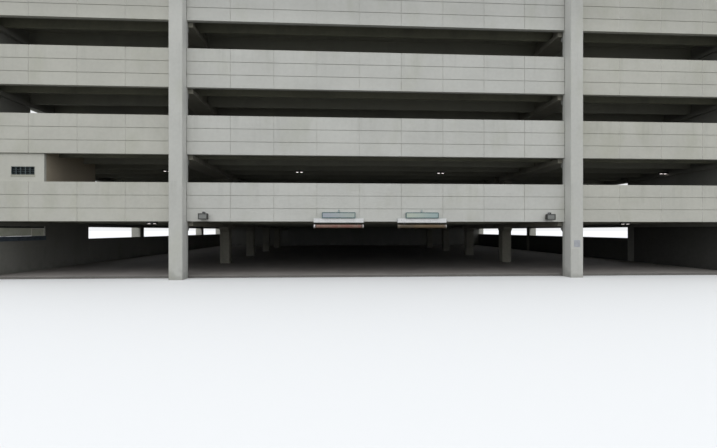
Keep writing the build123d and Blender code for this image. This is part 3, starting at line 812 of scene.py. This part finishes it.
class Mesh:
    """A mesh in the making, from bmesh operators."""

    def __init__(self) -> None:
        """Start empty."""
        self.work = bmesh.new()

    def soften(self, edges: list[bmesh.types.BMEdge], width: float, segments: int) -> None:
        """Round some edges with a number of faces across each."""
        bmesh.ops.bevel(self.work, geom=edges, offset=width, segments=segments, profile=0.5,
                        affect="EDGES", material=-1, clamp_overlap=True)

    def block(self, low: Vector | Triple, high: Vector | Triple, bevel: float = 0.0,
              segments: int = 1) -> "Mesh":
        """Add a block between two corners.

        Args:
            low: Lowest corner.
            high: Highest corner.
            bevel: Width of its rounded edges.
            segments: Faces across each rounded edge.

        Returns:
            This mesh.
        """
        size = Vector(high) - Vector(low)
        matrix = Matrix.Translation((Vector(low) + Vector(high)) / 2) @ Matrix.Diagonal((*size, 1.0))
        made = bmesh.ops.create_cube(self.work, size=1.0, matrix=matrix)["verts"]
        if bevel:
            self.soften(list({edge for vert in made for edge in vert.link_edges}), bevel, segments)
        return self

    def stack(self, seat: Vector, out: Vector, discs: tuple[Disc, ...]) -> "Mesh":
        """Stack discs on a seat.

        Args:
            seat: Middle of the seat.
            out: Direction away from it.
            discs: The discs.

        Returns:
            This mesh.
        """
        turn = UP.rotation_difference(out).to_matrix().to_4x4()
        for disc in discs:
            matrix = Matrix.Translation(seat + out * disc.rise) @ turn
            bmesh.ops.create_cone(self.work, cap_ends=True, cap_tris=False, segments=disc.sides,
                                  radius1=disc.radius, radius2=disc.radius * disc.taper,
                                  depth=disc.length, matrix=matrix)
        return self

    def studs(self, middle: Vector, reach: float, rise: float, fastener: Fastener,
              columns: int = 2) -> "Mesh":
        """Set two rows of fasteners on a face that looks to the front.

        Args:
            middle: Middle of the rows.
            reach: Distance of the outer columns from the middle.
            rise: Distance of the rows from the middle.
            fastener: The fastener.
            columns: Fasteners in a row.

        Returns:
            This mesh.
        """
        for number in range(columns):
            across = reach * (2 * number / (columns - 1) - 1)
            for upright in (-rise, rise):
                self.stack(middle + Vector((across, 0, upright)), FRONT, fastener.value)
        return self

    def ring(self, centre: Vector, outer: float, inner: float, length: float, sides: int = 40) -> "Mesh":
        """Add a sleeve along X by spinning its section.

        Args:
            centre: Its middle.
            outer: Outer radius.
            inner: Inner radius.
            length: Its length.
            sides: Number of its sides.

        Returns:
            This mesh.
        """
        across = RIGHT.orthogonal().normalized()
        corners = [(inner, -length / 2), (outer, -length / 2), (outer, length / 2), (inner, length / 2)]
        points = [self.work.verts.new(centre + across * radius + RIGHT * shift) for radius, shift in corners]
        edges = [self.work.edges.new((points[number - 1], points[number])) for number in range(4)]
        bmesh.ops.spin(self.work, geom=points + edges, cent=centre, axis=RIGHT, angle=2 * math.pi,
                       steps=sides, use_merge=True)
        return self

    def plane(self, centre: Vector, width: float, height: float, columns: int = 1,
              rows: int = 1) -> list[bmesh.types.BMVert]:
        """Add a grid that looks to the front and give its vertices."""
        turned = Matrix.Translation(centre) @ Matrix.Rotation(math.pi / 2, 4, "X")
        return bmesh.ops.create_grid(self.work, x_segments=columns, y_segments=rows, size=0.5,
                                     matrix=turned @ Matrix.Diagonal((width, height, 1.0, 1.0)))["verts"]

    def frame(self, centre: Vector, width: float, height: float, border: float, depth: float,
              bevel: float) -> "Mesh":
        """Add a picture frame that faces the front, its back at the centre's Y.

        Args:
            centre: Middle of its back.
            width: Outer width.
            height: Outer height.
            border: Width of its members.
            depth: How far it stands out.
            bevel: Width of the rounding on its front edges.

        Returns:
            This mesh.
        """
        middle = self.plane(centre, width, height)[0].link_faces[0]
        members = bmesh.ops.inset_region(self.work, faces=[middle], thickness=border,
                                         use_boundary=True, use_even_offset=True)["faces"]
        bmesh.ops.delete(self.work, geom=[middle], context="FACES_ONLY")
        grown = bmesh.ops.extrude_face_region(self.work, geom=members, use_keep_orig=True)["geom"]
        front = {part for part in grown if isinstance(part, bmesh.types.BMVert)}
        bmesh.ops.translate(self.work, verts=list(front), vec=FRONT * depth)
        near = {edge for vert in front for edge in vert.link_edges if front.issuperset(edge.verts)}
        self.soften([edge for edge in near if edge.calc_face_angle(0.0) > 1.0], bevel, 2)
        return self

    def piece(self, name: str, finish: Finish, slot: str, body: str = GARAGE,
              smooth: float | None = None) -> None:
        """Turn the mesh into a piece of the garage.

        Args:
            name: Name of the piece.
            finish: Its finish.
            slot: The record's material slot; not used.
            body: Body that it moves with.
            smooth: Angle in degrees under which edges shade smoothly.
        """
        bmesh.ops.recalc_face_normals(self.work, faces=self.work.faces)
        if smooth is not None:
            for face in self.work.faces:
                face.smooth = True
            for edge in self.work.edges:
                edge.smooth = edge.calc_face_angle(math.pi) < math.radians(smooth)
        made = self.place(name, finish.material())
        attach(made, body)
        LOG.info("%s: %d faces, rides on %s", name, len(made.data.polygons), body)

    def place(self, name: str, material: bpy.types.Material) -> bpy.types.Object:
        """Put the mesh into the scene as an object.

        Args:
            name: Name of the object and its mesh.
            material: Its material.

        Returns:
            The object.
        """
        data = bpy.data.meshes.new(name)
        self.work.to_mesh(data)
        self.work.free()
        data.materials.append(material)
        return place_object(name, data)


def place_object(name: str, data: bpy.types.ID) -> bpy.types.Object:
    """Put data into the scene as an object.

    Args:
        name: Name of the object.
        data: Its mesh, camera or light.

    Returns:
        The object.
    """
    made = bpy.data.objects.new(name, data)
    bpy.context.scene.collection.objects.link(made)
    return made


class Garage:
    """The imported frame: its nodes, their boxes and their finishes, by the start of a node's name."""

    FINISHES = {
        "ground_slab": Palette.FLOOR,
        "interior_columns": Palette.INNER,
        "girders_level_": Palette.INNER,
        "deck_level_": Palette.DECK,
        "right_ground_walls": Palette.DARK_WALL,
        "room_front_wall": Palette.ROOM_WALL,
        "room_left_wall": Palette.ROOM_WALL,
        "room_side_wall": Palette.ROOM_RETURN,
        "room_back_wall": Palette.ROOM_RETURN,
        "room_louvre": Palette.LOUVRE,
        "left_wall_coping": Palette.COPING,
        "sign_": Palette.SIGN_CASE,
        "bar_brackets": Palette.DULL_STEEL,
        "bar_straps_": Palette.DULL_STEEL,
        "clearance_bar_left": Palette.BAR_LEFT,
        "clearance_bar_right": Palette.BAR_RIGHT,
        "bar_caps_left": Palette.CAP_LEFT,
        "bar_caps_right": Palette.CAP_RIGHT,
        "floodlights": Palette.LAMP_BODY,
        "direction_board": Palette.BOARD,
        "ceiling_lights": Palette.CEILING_CASE,
    }

    def __init__(self) -> None:
        """Load the frame and note its size."""
        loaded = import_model()
        self.nodes = loaded["nodes"]
        self.pivots = {joint["child"]: Vector(joint["pos_m"]) for joint in loaded["joints"]}
        self.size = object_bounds()

    def dress(self) -> None:
        """Give every node of the frame its finish."""
        for name, node in self.nodes.items():
            named = (finish for start, finish in self.FINISHES.items() if name.startswith(start))
            node.data.materials.clear()
            node.data.materials.append(next(named, Palette.FACADE).material())
        LOG.info("frame: %d nodes dressed", len(self.nodes))


@dataclass
class Joints:
    """Elastic sealant where precast pieces meet."""

    bead: float = 0.014  # width of a bead in a corner
    tooth: float = 0.004  # how deep a deck joint's filler lies below the top
    joint: float = 0.012  # width of the gap between two tees or two panels
    filler_depth: float = 0.03
    tee_pitch: float = 3.66
    end_gap: float = 0.02  # gap between the end of a tee and its girder
    recess: float = 0.01  # how far the back wall's filler lies behind its faces
    back_panels: tuple[int, ...] = (2, 5, 2)  # panels in each bay of the back wall

    def build(self, levels: range) -> None:
        """Seal the facade's corners, the back wall and the decks.

        Args:
            levels: The parking levels above the ground.
        """
        self.corners(levels)
        self.back_wall()
        for level in levels:
            self.deck(level)

    @staticmethod
    def bays() -> list[tuple[float, float]]:
        """X range of each bay between the front columns."""
        columns = [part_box(f"front_column_{number}") for number in range(1, 5)]
        return [(left[1].x, right[0].x) for left, right in zip(columns, columns[1:])]

    def corners(self, levels: range) -> None:
        """Run a bead up each corner between a front or back spandrel and a column.

        Args:
            levels: The parking levels above the ground.
        """
        mesh = Mesh()
        for level in levels:
            low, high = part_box(f"front_spandrels_level_{level}")
            for start, end in self.bays():
                for line in (start, end - self.bead):
                    for face in (low.y - self.bead, -low.y):
                        mesh.block((line, face, low.z), (line + self.bead, face + self.bead, high.z),
                                   self.bead / 3)
        mesh.piece("facade_corner_sealant", Palette.JOINT, "facade_concrete", smooth=50)

    def back_wall(self) -> None:
        """Fill the upright joints between the panels of the back wall."""
        low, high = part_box("back_ground_walls")
        mesh = Mesh()
        for (start, end), panels in zip(self.bays(), self.back_panels):
            for number in range(1, panels):
                line = start + (end - start) * number / panels
                mesh.block((line - self.joint / 2, low.y + self.recess, low.z),
                           (line + self.joint / 2, high.y - self.recess, high.z))
        mesh.piece("back_wall_sealant", Palette.JOINT, "facade_concrete")

    def deck(self, level: int) -> None:
        """Fill the joints between one deck's tees and along its girders.

        Args:
            level: The parking level.
        """
        low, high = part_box(f"deck_level_{level}")
        top = high.z - self.tooth
        bottom = top - self.filler_depth
        inner = -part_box("left_spandrels")[1].x - self.end_gap
        mesh = Mesh()
        for start, end in self.bays():
            first, last = start + self.end_gap, end - self.end_gap
            for number in range(1, round((high.y - low.y) / self.tee_pitch)):
                line = low.y + self.tee_pitch * number
                mesh.block((first, line - self.joint, bottom), (last, line, top))
            for edge, gap in ((start, (start, first)), (end, (last, end))):
                if abs(edge) < inner:
                    mesh.block((gap[0], low.y, bottom), (gap[1], high.y, top))
        mesh.piece(f"deck_joint_filler_level_{level}", Palette.DECK_JOINT, "deck_concrete")


@dataclass
class Sign:
    """A sign over the entrance: a framed case above a lower panel."""

    side: Side
    face: Finish  # finish of the case's pale face
    post_height: float = 0.13
    case_width: float = 1.54
    case_height: float = 0.27
    case_step: float = 0.05  # how much further the case stands out than the panel
    panel_height: float = 0.2
    border: float = 0.034  # width of the case's frame
    panel_border: float = 0.012  # width of the lower panel's rim
    stand_off: float = 0.012  # how far a frame stands out from its case
    crown: float = 0.006  # how far a face bulges
    lap: float = 0.002  # how far a face reaches under its frame
    skin: float = 0.003  # how far a face lies before its case
    gap: float = 0.0001  # air behind a face
    screws: int = 6
    post_shift: float = 0.045  # how far the post's bolts lie behind its middle
    foot: float = 0.06  # half the width of the plate under the post, and how far it stands out
    foot_height: float = 0.008
    foot_gap: float = 0.004  # air between that plate and the wall

    def build(self) -> None:
        """Dress the case, the panel and the post."""
        word = self.side.word
        low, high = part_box(f"sign_{word}")
        middle = (low.x + high.x) / 2
        centre = Vector((middle, low.y, low.z + self.panel_height + self.case_height / 2))
        case = (centre, self.case_width, self.case_height, self.border)
        lower = Vector((middle, low.y + self.case_step, low.z + self.panel_height / 2))
        panel = (lower, high.x - low.x, self.panel_height, self.panel_border)
        self.crowned(*case).piece(f"sign_{word}_case_face", self.face, "sign_case", smooth=30)
        self.crowned(*panel).piece(f"sign_{word}_panel_face", Palette.LOWER_FACE, "sign_case", smooth=30)
        frame = Mesh().frame(*case, self.stand_off, EDGE)
        frame.piece(f"sign_{word}_case_frame", Palette.SIGN_FRAME, "sign_case")
        rim = Mesh().frame(*panel, self.stand_off, FINE_EDGE)
        rim.piece(f"sign_{word}_panel_rim", Palette.LOWER_FACE, "sign_case")
        screws = Mesh().studs(centre + FRONT * self.stand_off, (self.case_width - self.border) / 2,
                              (self.case_height - self.border) / 2, Fastener.SIGN_SCREW, self.screws)
        screws.piece(f"sign_{word}_screws", Palette.STEEL, "galvanised_steel", smooth=40)
        self.post(Vector((middle, low.y, high.z - self.post_height)))

    def crowned(self, centre: Vector, width: float, height: float, border: float) -> Mesh:
        """Make a slightly crowned face for a frame.

        Args:
            centre: Middle of the case's front.
            width: Width of the frame.
            height: Height of the frame.
            border: Width of the frame's members.

        Returns:
            The face.
        """
        mesh = Mesh()
        hidden = 2 * (border - self.lap)
        for vert in mesh.plane(centre + FRONT * self.skin, width - hidden, height - hidden,
                               columns=16, rows=4):
            across = 1 - (2 * (vert.co.x - centre.x) / width) ** 2
            upright = 1 - (2 * (vert.co.z - centre.z) / height) ** 2
            vert.co.y -= self.crown * max(across, 0.0) * max(upright, 0.0)
        rim = [edge for edge in mesh.work.edges if edge.is_boundary]
        grown = bmesh.ops.extrude_edge_only(mesh.work, edges=rim)["geom"]
        back = [part for part in grown if isinstance(part, bmesh.types.BMVert)]
        bmesh.ops.translate(mesh.work, verts=back, vec=FRONT * (self.gap - self.skin))
        bmesh.ops.contextual_create(mesh.work, geom=[edge for edge in mesh.work.edges if edge.is_boundary])
        return mesh

    def post(self, foot: Vector) -> None:
        """Bolt the post and set a plate under it.

        Args:
            foot: Middle of the post's foot, at the case's front.
        """
        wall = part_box("front_spandrels_level_2")[0].y
        middle = Vector((foot.x, (foot.y + wall) / 2 + self.post_shift, foot.z + self.post_height / 2))
        mesh = Mesh()
        for out in (-RIGHT, RIGHT):
            mesh.stack(middle, out, Fastener.POST_BOLT.value)
        mesh.block((foot.x - self.foot, wall - self.foot, foot.z),
                   (foot.x + self.foot, wall - self.foot_gap, foot.z + self.foot_height), FINE_EDGE)
        mesh.piece(f"sign_{self.side.word}_post_fixings", Palette.STEEL, "galvanised_steel", smooth=40)


@dataclass
class HangingBar:
    """A height-clearance bar with its caps, hangers and pins."""

    side: Side
    pivot: Vector  # a point on the line of its pins
    caps: Finish
    rim: float = 0.012  # width of the rim round each cap
    rim_out: float = 0.003  # how far the rim stands out from the cap
    rim_in: float = 0.004  # how far it reaches into the cap
    band: float = 0.05  # width of the dark band beside a cap
    skin: float = 0.0015  # how far the band stands out from the tube
    bite: float = 0.001  # how far it reaches into the tube
    strap: float = 0.02  # half the width of a strap
    saddle: float = 0.0083  # distance of a saddle's top from the tube
    bolt_angle: float = 33.0
    cheek: float = 0.015  # distance of a clevis's cheeks from the strap's middle
    split: float = 0.011  # distance of the split pin from a cheek
    split_way: Triple = (0.0, 0.4, 1.0)  # direction in which the split pin is driven

    def build(self) -> None:
        """Dress the caps, the bands and the hangers."""
        word, body = self.side.word, self.side.body
        tube_low, tube_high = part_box(f"clearance_bar_{word}")
        cap_low, cap_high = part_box(f"bar_caps_{word}")
        middle = (tube_low + tube_high) / 2
        tube = (tube_high.z - tube_low.z) / 2
        cap = (cap_high.z - cap_low.z) / 2
        rims, bands = Mesh(), Mesh()
        for outer, inner, inward in ((cap_low.x, tube_low.x, RIGHT), (cap_high.x, tube_high.x, -RIGHT)):
            end = Vector((outer, middle.y, middle.z))
            rims.ring(end + inward * self.rim, cap + self.rim_out, cap - self.rim_in, self.rim)
            face = Disc(rise=0.001, radius=cap * 0.8, length=0.006, sides=40, taper=0.9)
            rims.stack(end, -inward, (face,))
            seam = Vector((inner, middle.y, middle.z))
            bands.ring(seam + inward * self.band / 2, tube + self.skin, tube - self.bite, self.band)
        rims.piece(f"bar_cap_rims_{word}", self.caps, "cap_plastic", body, smooth=35)
        bands.piece(f"bar_bands_{word}", Palette.BAND, "cap_plastic", body, smooth=35)
        low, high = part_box(f"bar_straps_{word}")
        bolts, pins = Mesh(), Mesh()
        for line in (low.x + self.strap, high.x - self.strap):
            for angle in (-self.bolt_angle, self.bolt_angle):
                out = Matrix.Rotation(math.radians(angle), 3, "X") @ UP
                seat = Vector((line, middle.y, middle.z)) + out * (tube + self.saddle)
                bolts.stack(seat, out, Fastener.SADDLE_BOLT.value)
            pin = Vector((line, self.pivot.y, self.pivot.z))
            for out in (-RIGHT, RIGHT):
                pins.stack(pin + out * self.cheek, out, Fastener.PIN_HEAD.value)
            split = pin + RIGHT * (self.cheek + self.split)
            pins.stack(split, Vector(self.split_way), Fastener.SPLIT_PIN.value)
        bolts.piece(f"bar_hanger_bolts_{word}", Palette.DULL_STEEL, "galvanised_steel", body,
                    smooth=35)
        pins.piece(f"bar_pin_heads_{word}", Palette.DULL_STEEL, "galvanised_steel", smooth=35)


@dataclass
class Floodlight:
    """A floodlight on its arm, with the size of its housing."""

    side: Side  # which end of the middle bay it stands at
    width: float = 0.41
    height: float = 0.27
    depth: float = 0.17
    wall: float = 0.018  # thickness of its housing's rim
    glass: tuple[float, float] = (0.006, 0.016)  # how far behind the rim its glass begins and ends
    bezel: float = 0.036
    bezel_depth: float = 0.01
    fins: int = 9
    fin: float = 0.003  # half the thickness of a fin
    fin_depth: float = 0.02
    fin_root: float = 0.002  # how far a fin reaches into the housing
    fin_share: tuple[float, float] = (0.8, 0.3)  # share of the housing under fins: across, half upright
    plate_size: float = 0.05  # reach of the arm's plate to the sides and down
    plate_rise: float = 0.04  # its reach up
    plate_depth: float = 0.008  # its thickness
    plate_drop: float = 0.02  # height of the arm's top above its middle
    bolt_reach: tuple[float, float] = (0.038, 0.031)  # distance of its bolts from their middle
    bolt_drop: float = 0.005  # how far that middle lies below its own
    yoke_rise: float = 0.03  # height of the arm's bolts over the housing

    def build(self) -> None:
        """Set the glass, the bezel, the fins and the arm's bolts."""
        low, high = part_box("floodlights")
        word = self.side.word
        front = Vector((self.side.value * (high.x - self.width / 2), low.y, low.z + self.height / 2))
        half = Vector((self.width / 2 - self.wall, 0, self.height / 2 - self.wall))
        start, end = self.glass
        glass = Mesh().block(front - half - FRONT * start, front + half - FRONT * end, EDGE, 2)
        glass.piece(f"floodlight_glass_{word}", Palette.LAMP_GLASS, "floodlight_metal")
        bezel = Mesh().frame(front, self.width, self.height, self.bezel, self.bezel_depth, EDGE)
        bezel.studs(front + FRONT * self.bezel_depth, (self.width - self.bezel) / 2,
                    (self.height - self.bezel) / 2, Fastener.BEZEL_SCREW)
        bezel.piece(f"floodlight_bezel_{word}", Palette.LAMP_BODY, "floodlight_metal", smooth=35)
        self.cooling(front)
        self.arm(front, high.z)

    def cooling(self, front: Vector) -> None:
        """Stand upright fins on the back of the housing.

        Args:
            front: Middle of the housing's front.
        """
        mesh = Mesh()
        pitch = self.width * self.fin_share[0] / (self.fins - 1)
        rise = self.height * self.fin_share[1]
        back = front.y + self.depth
        for number in range(self.fins):
            line = front.x + (number - (self.fins - 1) / 2) * pitch
            mesh.block((line - self.fin, back - self.fin_root, front.z - rise),
                       (line + self.fin, back + self.fin_depth, front.z + rise), FINE_EDGE)
        mesh.piece(f"floodlight_fins_{self.side.word}", Palette.LAMP_BODY, "floodlight_metal")

    def arm(self, front: Vector, top: float) -> None:
        """Bolt the arm to the wall and to the housing.

        Args:
            front: Middle of the housing's front.
            top: Height of the arm's top.
        """
        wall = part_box("front_spandrels_level_2")[0].y
        plate = Vector((front.x, wall, top - self.plate_drop))
        corner = Vector((self.plate_size, self.plate_depth, self.plate_size))
        mesh = Mesh().block(plate - corner, plate + Vector((self.plate_size, 0, self.plate_rise)), EDGE)
        bolts = plate + FRONT * self.plate_depth - UP * self.bolt_drop
        mesh.studs(bolts, *self.bolt_reach, Fastener.WALL_BOLT)
        pivot = front - FRONT * self.depth / 2 + UP * (self.height / 2 + self.yoke_rise)
        for out in (-RIGHT, RIGHT):
            mesh.stack(pivot, out, Fastener.ARM_BOLT.value)
        mesh.piece(f"floodlight_fixings_{self.side.word}", Palette.STEEL, "galvanised_steel", smooth=35)


@dataclass
class ClosedRoom:
    """Trim of the closed room at the left end of level 2."""

    flashing: float = 0.05
    lip: float = 0.012  # how far trims stand out
    bead: float = 0.008  # how far the sealant along the head stands out
    flange: float = 0.022  # width of the painted flange round the louvre
    flange_lap: float = 0.02  # how far the flange reaches past the louvre, both sides together
    sill: float = 0.085  # height of the painted sill over the louvre's foot
    margin: float = 0.02  # how far the screen stays inside the louvre
    mesh: float = 0.004  # thickness of the screen

    def build(self) -> None:
        """Add the sill flashing, the head bead, the louvre's flange, its sill and its screen."""
        low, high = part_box("room_front_wall")
        lip = self.lip
        flashing = Mesh().block((low.x, low.y - lip, low.z), (high.x, low.y, low.z + self.flashing), EDGE)
        flashing.piece("room_sill_flashing", Palette.ROOM_WALL, "room_wall")
        bead = Mesh().block((low.x, low.y - self.bead, high.z - 2 * self.bead),
                            (high.x, low.y, high.z), BROAD_EDGE)
        bead.block((high.x, low.y, low.z), (high.x + lip, low.y + lip, high.z), BROAD_EDGE)
        bead.piece("room_wall_sealant", Palette.JOINT, "room_wall")
        low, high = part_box("room_louvre")
        seat = Vector(((low.x + high.x) / 2, low.y, (low.z + high.z) / 2))
        flange = Mesh().frame(seat, high.x - low.x + self.flange_lap, high.z - low.z + self.flange_lap,
                              self.flange, self.bead, FINE_EDGE)
        flange.piece("louvre_flange", Palette.ROOM_WALL, "room_wall")
        sill = Mesh().block((low.x - lip, low.y - lip, low.z - lip),
                            (high.x + lip, low.y, low.z + self.sill), EDGE)
        sill.piece("louvre_sill", Palette.ROOM_SILL, "room_wall")
        screen = Mesh().block((low.x + self.margin, high.y - self.mesh, low.z + self.margin),
                              (high.x - self.margin, high.y, high.z - self.margin))
        screen.piece("louvre_screen", Palette.SCREEN, "louvre_metal")


@dataclass
class GuideBoard:
    """The long board over the coping at the left, its letters left off."""

    height: float = 0.45
    border: float = 0.03  # width of the trims round the board and its panel
    trim: float = 0.006  # how far the board's trims stand out
    panel_length: float = 0.9
    panel_drop: float = 0.03  # how far that panel reaches down past the board
    panel: tuple[float, float] = (0.004, 0.016)  # reach of the panel before the board, from and to
    rim: tuple[float, float] = (0.012, 0.024)  # reach of the panel's rim before the board, from and to
    rail: tuple[float, float] = (-0.02, 0.014)  # reach of the head rail behind and before the board
    rail_lap: float = 0.045  # how far the head rail reaches down over the board
    rail_rise: float = 0.039  # how far it reaches up to the ledge
    coping_pieces: int = 3
    strip: float = 0.05  # half the length of a cover strip on its seams
    strip_skin: float = 0.003

    def build(self) -> None:
        """Trim the board, close the gap above it, set the paler panel and cap the coping's seams."""
        low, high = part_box("direction_board")
        face, border = high.x, self.border
        foot, lap = high.z - self.height, high.z - self.rail_lap
        trim = Mesh()
        for y, z, back, top in ((low.y, foot, high.y, foot + border),
                                (low.y, high.z - border, high.y, high.z),
                                (low.y, foot, low.y + border, high.z)):
            trim.block((face, y, z), (face + self.trim, back, top), FINE_EDGE)
        trim.piece("guide_board_trim", Palette.BOARD, "board_plastic")
        rail = Mesh().block((face + self.rail[0], low.y, lap),
                            (face + self.rail[1], high.y, high.z + self.rail_rise), EDGE)
        rail.piece("guide_board_head_rail", Palette.RAIL, "board_plastic")
        start, base = high.y - self.panel_length, foot - self.panel_drop
        panel = Mesh().block((face + self.panel[0], start, base),
                             (face + self.panel[1], high.y, lap), BROAD_EDGE, 2)
        panel.piece("guide_board_panel", Palette.BOARD, "board_plastic")
        rim = Mesh()
        for y, z, back, top in ((start, base, high.y, base + border), (start, lap - border, high.y, lap),
                                (start, base, start + border, lap), (high.y - border, base, high.y, lap)):
            rim.block((face + self.rim[0], y, z), (face + self.rim[1], back, top), EDGE)
        rim.piece("guide_panel_rim", Palette.BOARD_LIGHT, "board_plastic")
        self.cover_strips()

    def cover_strips(self) -> None:
        """Cap the seams between the coping's pieces."""
        low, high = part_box("left_wall_coping")
        skin = self.strip_skin
        seams = Mesh()
        for number in range(1, self.coping_pieces):
            line = low.y + (high.y - low.y) * number / self.coping_pieces
            seams.block((low.x - skin, line - self.strip, low.z),
                        (high.x + skin, line + self.strip, high.z + skin), FINE_EDGE)
        seams.piece("coping_cover_strips", Palette.COPING, "coping_metal")


@dataclass
class ColumnPlate:
    """A small bare plate bolted to the front of the third column."""

    width: float = 0.3
    height: float = 0.33
    centre: float = 1.585  # height of its middle
    thickness: float = 0.008
    bolts: tuple[float, float] = (0.42, 0.43)  # reach from the middle, as shares of width and height

    def build(self) -> None:
        """Bolt the plate to the column."""
        low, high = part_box("front_column_3")
        middle = Vector(((low.x + high.x) / 2, low.y, self.centre))
        front = middle + FRONT * self.thickness
        half = Vector((self.width / 2, 0, self.height / 2))
        plate = Mesh().block(front - half, middle + half, EDGE, 2)
        plate.piece("column_plate", Palette.PLATE, "galvanised_steel")
        bolts = Mesh().studs(front, self.width * self.bolts[0], self.height * self.bolts[1],
                             Fastener.PLATE_BOLT)
        bolts.piece("column_plate_bolts", Palette.STEEL, "galvanised_steel")


@dataclass
class CeilingLamps:
    """Glowing heads of the lamps under the first two decks."""

    # Level, tee stem counted from the front, and X of each lamp under a stem
    places: tuple[tuple[int, int, float], ...] = (
        (2, 0, -10.9), (2, 0, 12.7), (3, 2, -11.7), (3, 2, -4.2), (3, 2, 4.1), (3, 2, 11.9),
    )
    ledge_place: Triple = (3, -14.2, 17.42)  # level, Y and X of the lamp on the right side's ledge
    stem_pitch: float = 1.83
    half_joint: float = 0.006  # half the gap between two tees
    tee_depth: float = 0.7
    lamp_height: float = 0.09
    head: Disc = Disc(0.004, 0.07, 0.012, 24, 0.85)
    head_spacing: float = 0.25

    def build(self) -> None:
        """Give every lamp its two heads."""
        spots = [self.ledge_place]
        for level, stem, line in self.places:
            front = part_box(f"deck_level_{level}")[0].y - self.half_joint
            spots.append((level, front + (stem + 0.5) * self.stem_pitch, line))
        mesh = Mesh()
        for level, row, line in spots:
            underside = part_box(f"deck_level_{level}")[1].z - self.tee_depth - self.lamp_height
            for shift in (-self.head_spacing / 2, self.head_spacing / 2):
                mesh.stack(Vector((line + shift, row, underside)), -UP, (self.head,))
        mesh.piece("lamp_heads", Palette.CEILING_LENS, "lamp_plastic", smooth=40)


@dataclass
class Studio:
    """Pale floor, soft light and the camera."""

    eye: Triple = (-2.0, -37.09, 2.21)
    yaw: float = 3.02  # degrees that it is turned to the right
    focal: float = 400.0  # focal length in pixels of the picture
    horizon: float = 230.12  # row of the horizon in the picture
    frame_width: float = 717.0  # width of the picture in pixels
    frame_height: float = 448.0  # height of the picture in pixels
    sensor: float = 36.0  # width of the camera's sensor in millimetres
    view_reach: float = 5000.0
    floor_reach: float = 900.0
    floor_drop: float = 0.002  # how far it lies below the ground slab
    floor_seen: Colour = (0.8, 0.8, 0.79)  # colour of the floor as the camera sees it
    floor_bounce: Colour = (0.2, 0.2, 0.185)  # colour that it throws up into the decks
    sky_seen: Colour = (0.9, 0.91, 0.92)  # colour of the sky as the camera sees it
    sky: Colour = (0.92, 0.95, 1.0)  # colour of its light
    sky_strength: float = 1.22
    sun: Colour = (1.0, 0.985, 0.95)  # colour of the key light
    sun_strength: float = 0.6
    sun_spread: float = 50.0  # degrees across which the key light comes
    sun_way: Triple = (0.05, 1.0, -0.95)  # direction in which the key light shines

    def build(self) -> None:
        """Set up everything round the garage."""
        self.camera()
        self.floor()
        self.world()
        self.key_light()

    @staticmethod
    def seen(sheet: NodeSheet, other_ray: str) -> Socket:
        """Give 1 for rays from the camera and rays of another kind, and 0 for the rest."""
        rays = sheet.add("ShaderNodeLightPath").outputs
        return sheet.maths("MAXIMUM", rays["Is Camera Ray"], rays[other_ray])

    def camera(self) -> None:
        """Stand where the picture was taken from."""
        data = bpy.data.cameras.new("camera")
        data.sensor_width = self.sensor
        data.lens = self.sensor * self.focal / self.frame_width
        data.shift_y = (self.horizon - self.frame_height / 2) / self.frame_width
        data.clip_end = self.view_reach
        camera = place_object("camera", data)
        camera.location = self.eye
        camera.rotation_euler = (math.pi / 2, 0.0, -math.radians(self.yaw))
        bpy.context.scene.camera = camera
        bpy.context.scene.view_settings.view_transform = "Standard"

    def floor(self) -> None:
        """Lay a pale floor that throws little light up into the decks."""
        sheet = MaterialSheet("studio_floor", 0.9)
        colour = sheet.mix(self.seen(sheet, "Is Glossy Ray"), self.floor_bounce, self.floor_seen)
        sheet.join("Base Color", colour)
        mesh = Mesh()
        bmesh.ops.create_grid(mesh.work, x_segments=1, y_segments=1, size=self.floor_reach)
        floor = mesh.place("studio_floor", sheet.material)
        floor.location.z = -self.floor_drop
        floor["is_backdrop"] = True

    def world(self) -> None:
        """Light from an even sky, seen as plain near-white."""
        world = bpy.data.worlds.new("studio_sky")
        world.use_nodes = True
        bpy.context.scene.world = world
        sheet = NodeSheet(world.node_tree)
        background = world.node_tree.nodes["Background"].inputs
        seen = self.seen(sheet, "Is Transmission Ray")
        sheet.give(background["Color"], sheet.mix(seen, self.sky, self.sky_seen))
        sheet.give(background["Strength"], sheet.remap(seen, 0.0, 1.0, self.sky_strength, 1.0))

    def key_light(self) -> None:
        """Add a broad soft light from the front, high up."""
        data = bpy.data.lights.new("key_light", "SUN")
        data.energy = self.sun_strength
        data.angle = math.radians(self.sun_spread)
        data.color = self.sun
        light = place_object("key_light", data)
        light.rotation_euler = Vector(self.sun_way).to_track_quat("-Z", "Y").to_euler()


def main() -> None:
    """Build the garage's looks, one sub-assembly after another."""
    logging.basicConfig(level=logging.INFO, format="%(name)s: %(message)s")
    for item in list(bpy.data.objects):
        bpy.data.objects.remove(item)
    garage = Garage()
    garage.dress()
    Joints().build(range(2, 6))
    Sign(Side.LEFT, Palette.SIGN_FACE_BLUE).build()
    Sign(Side.RIGHT, Palette.SIGN_FACE).build()
    for side, caps in ((Side.LEFT, Palette.CAP_LEFT), (Side.RIGHT, Palette.CAP_RIGHT)):
        HangingBar(side, garage.pivots[side.body], caps).build()
        Floodlight(side).build()
    ClosedRoom().build()
    GuideBoard().build()
    ColumnPlate().build()
    CeilingLamps().build()
    Studio().build()


if __name__ == "__main__":
    main()
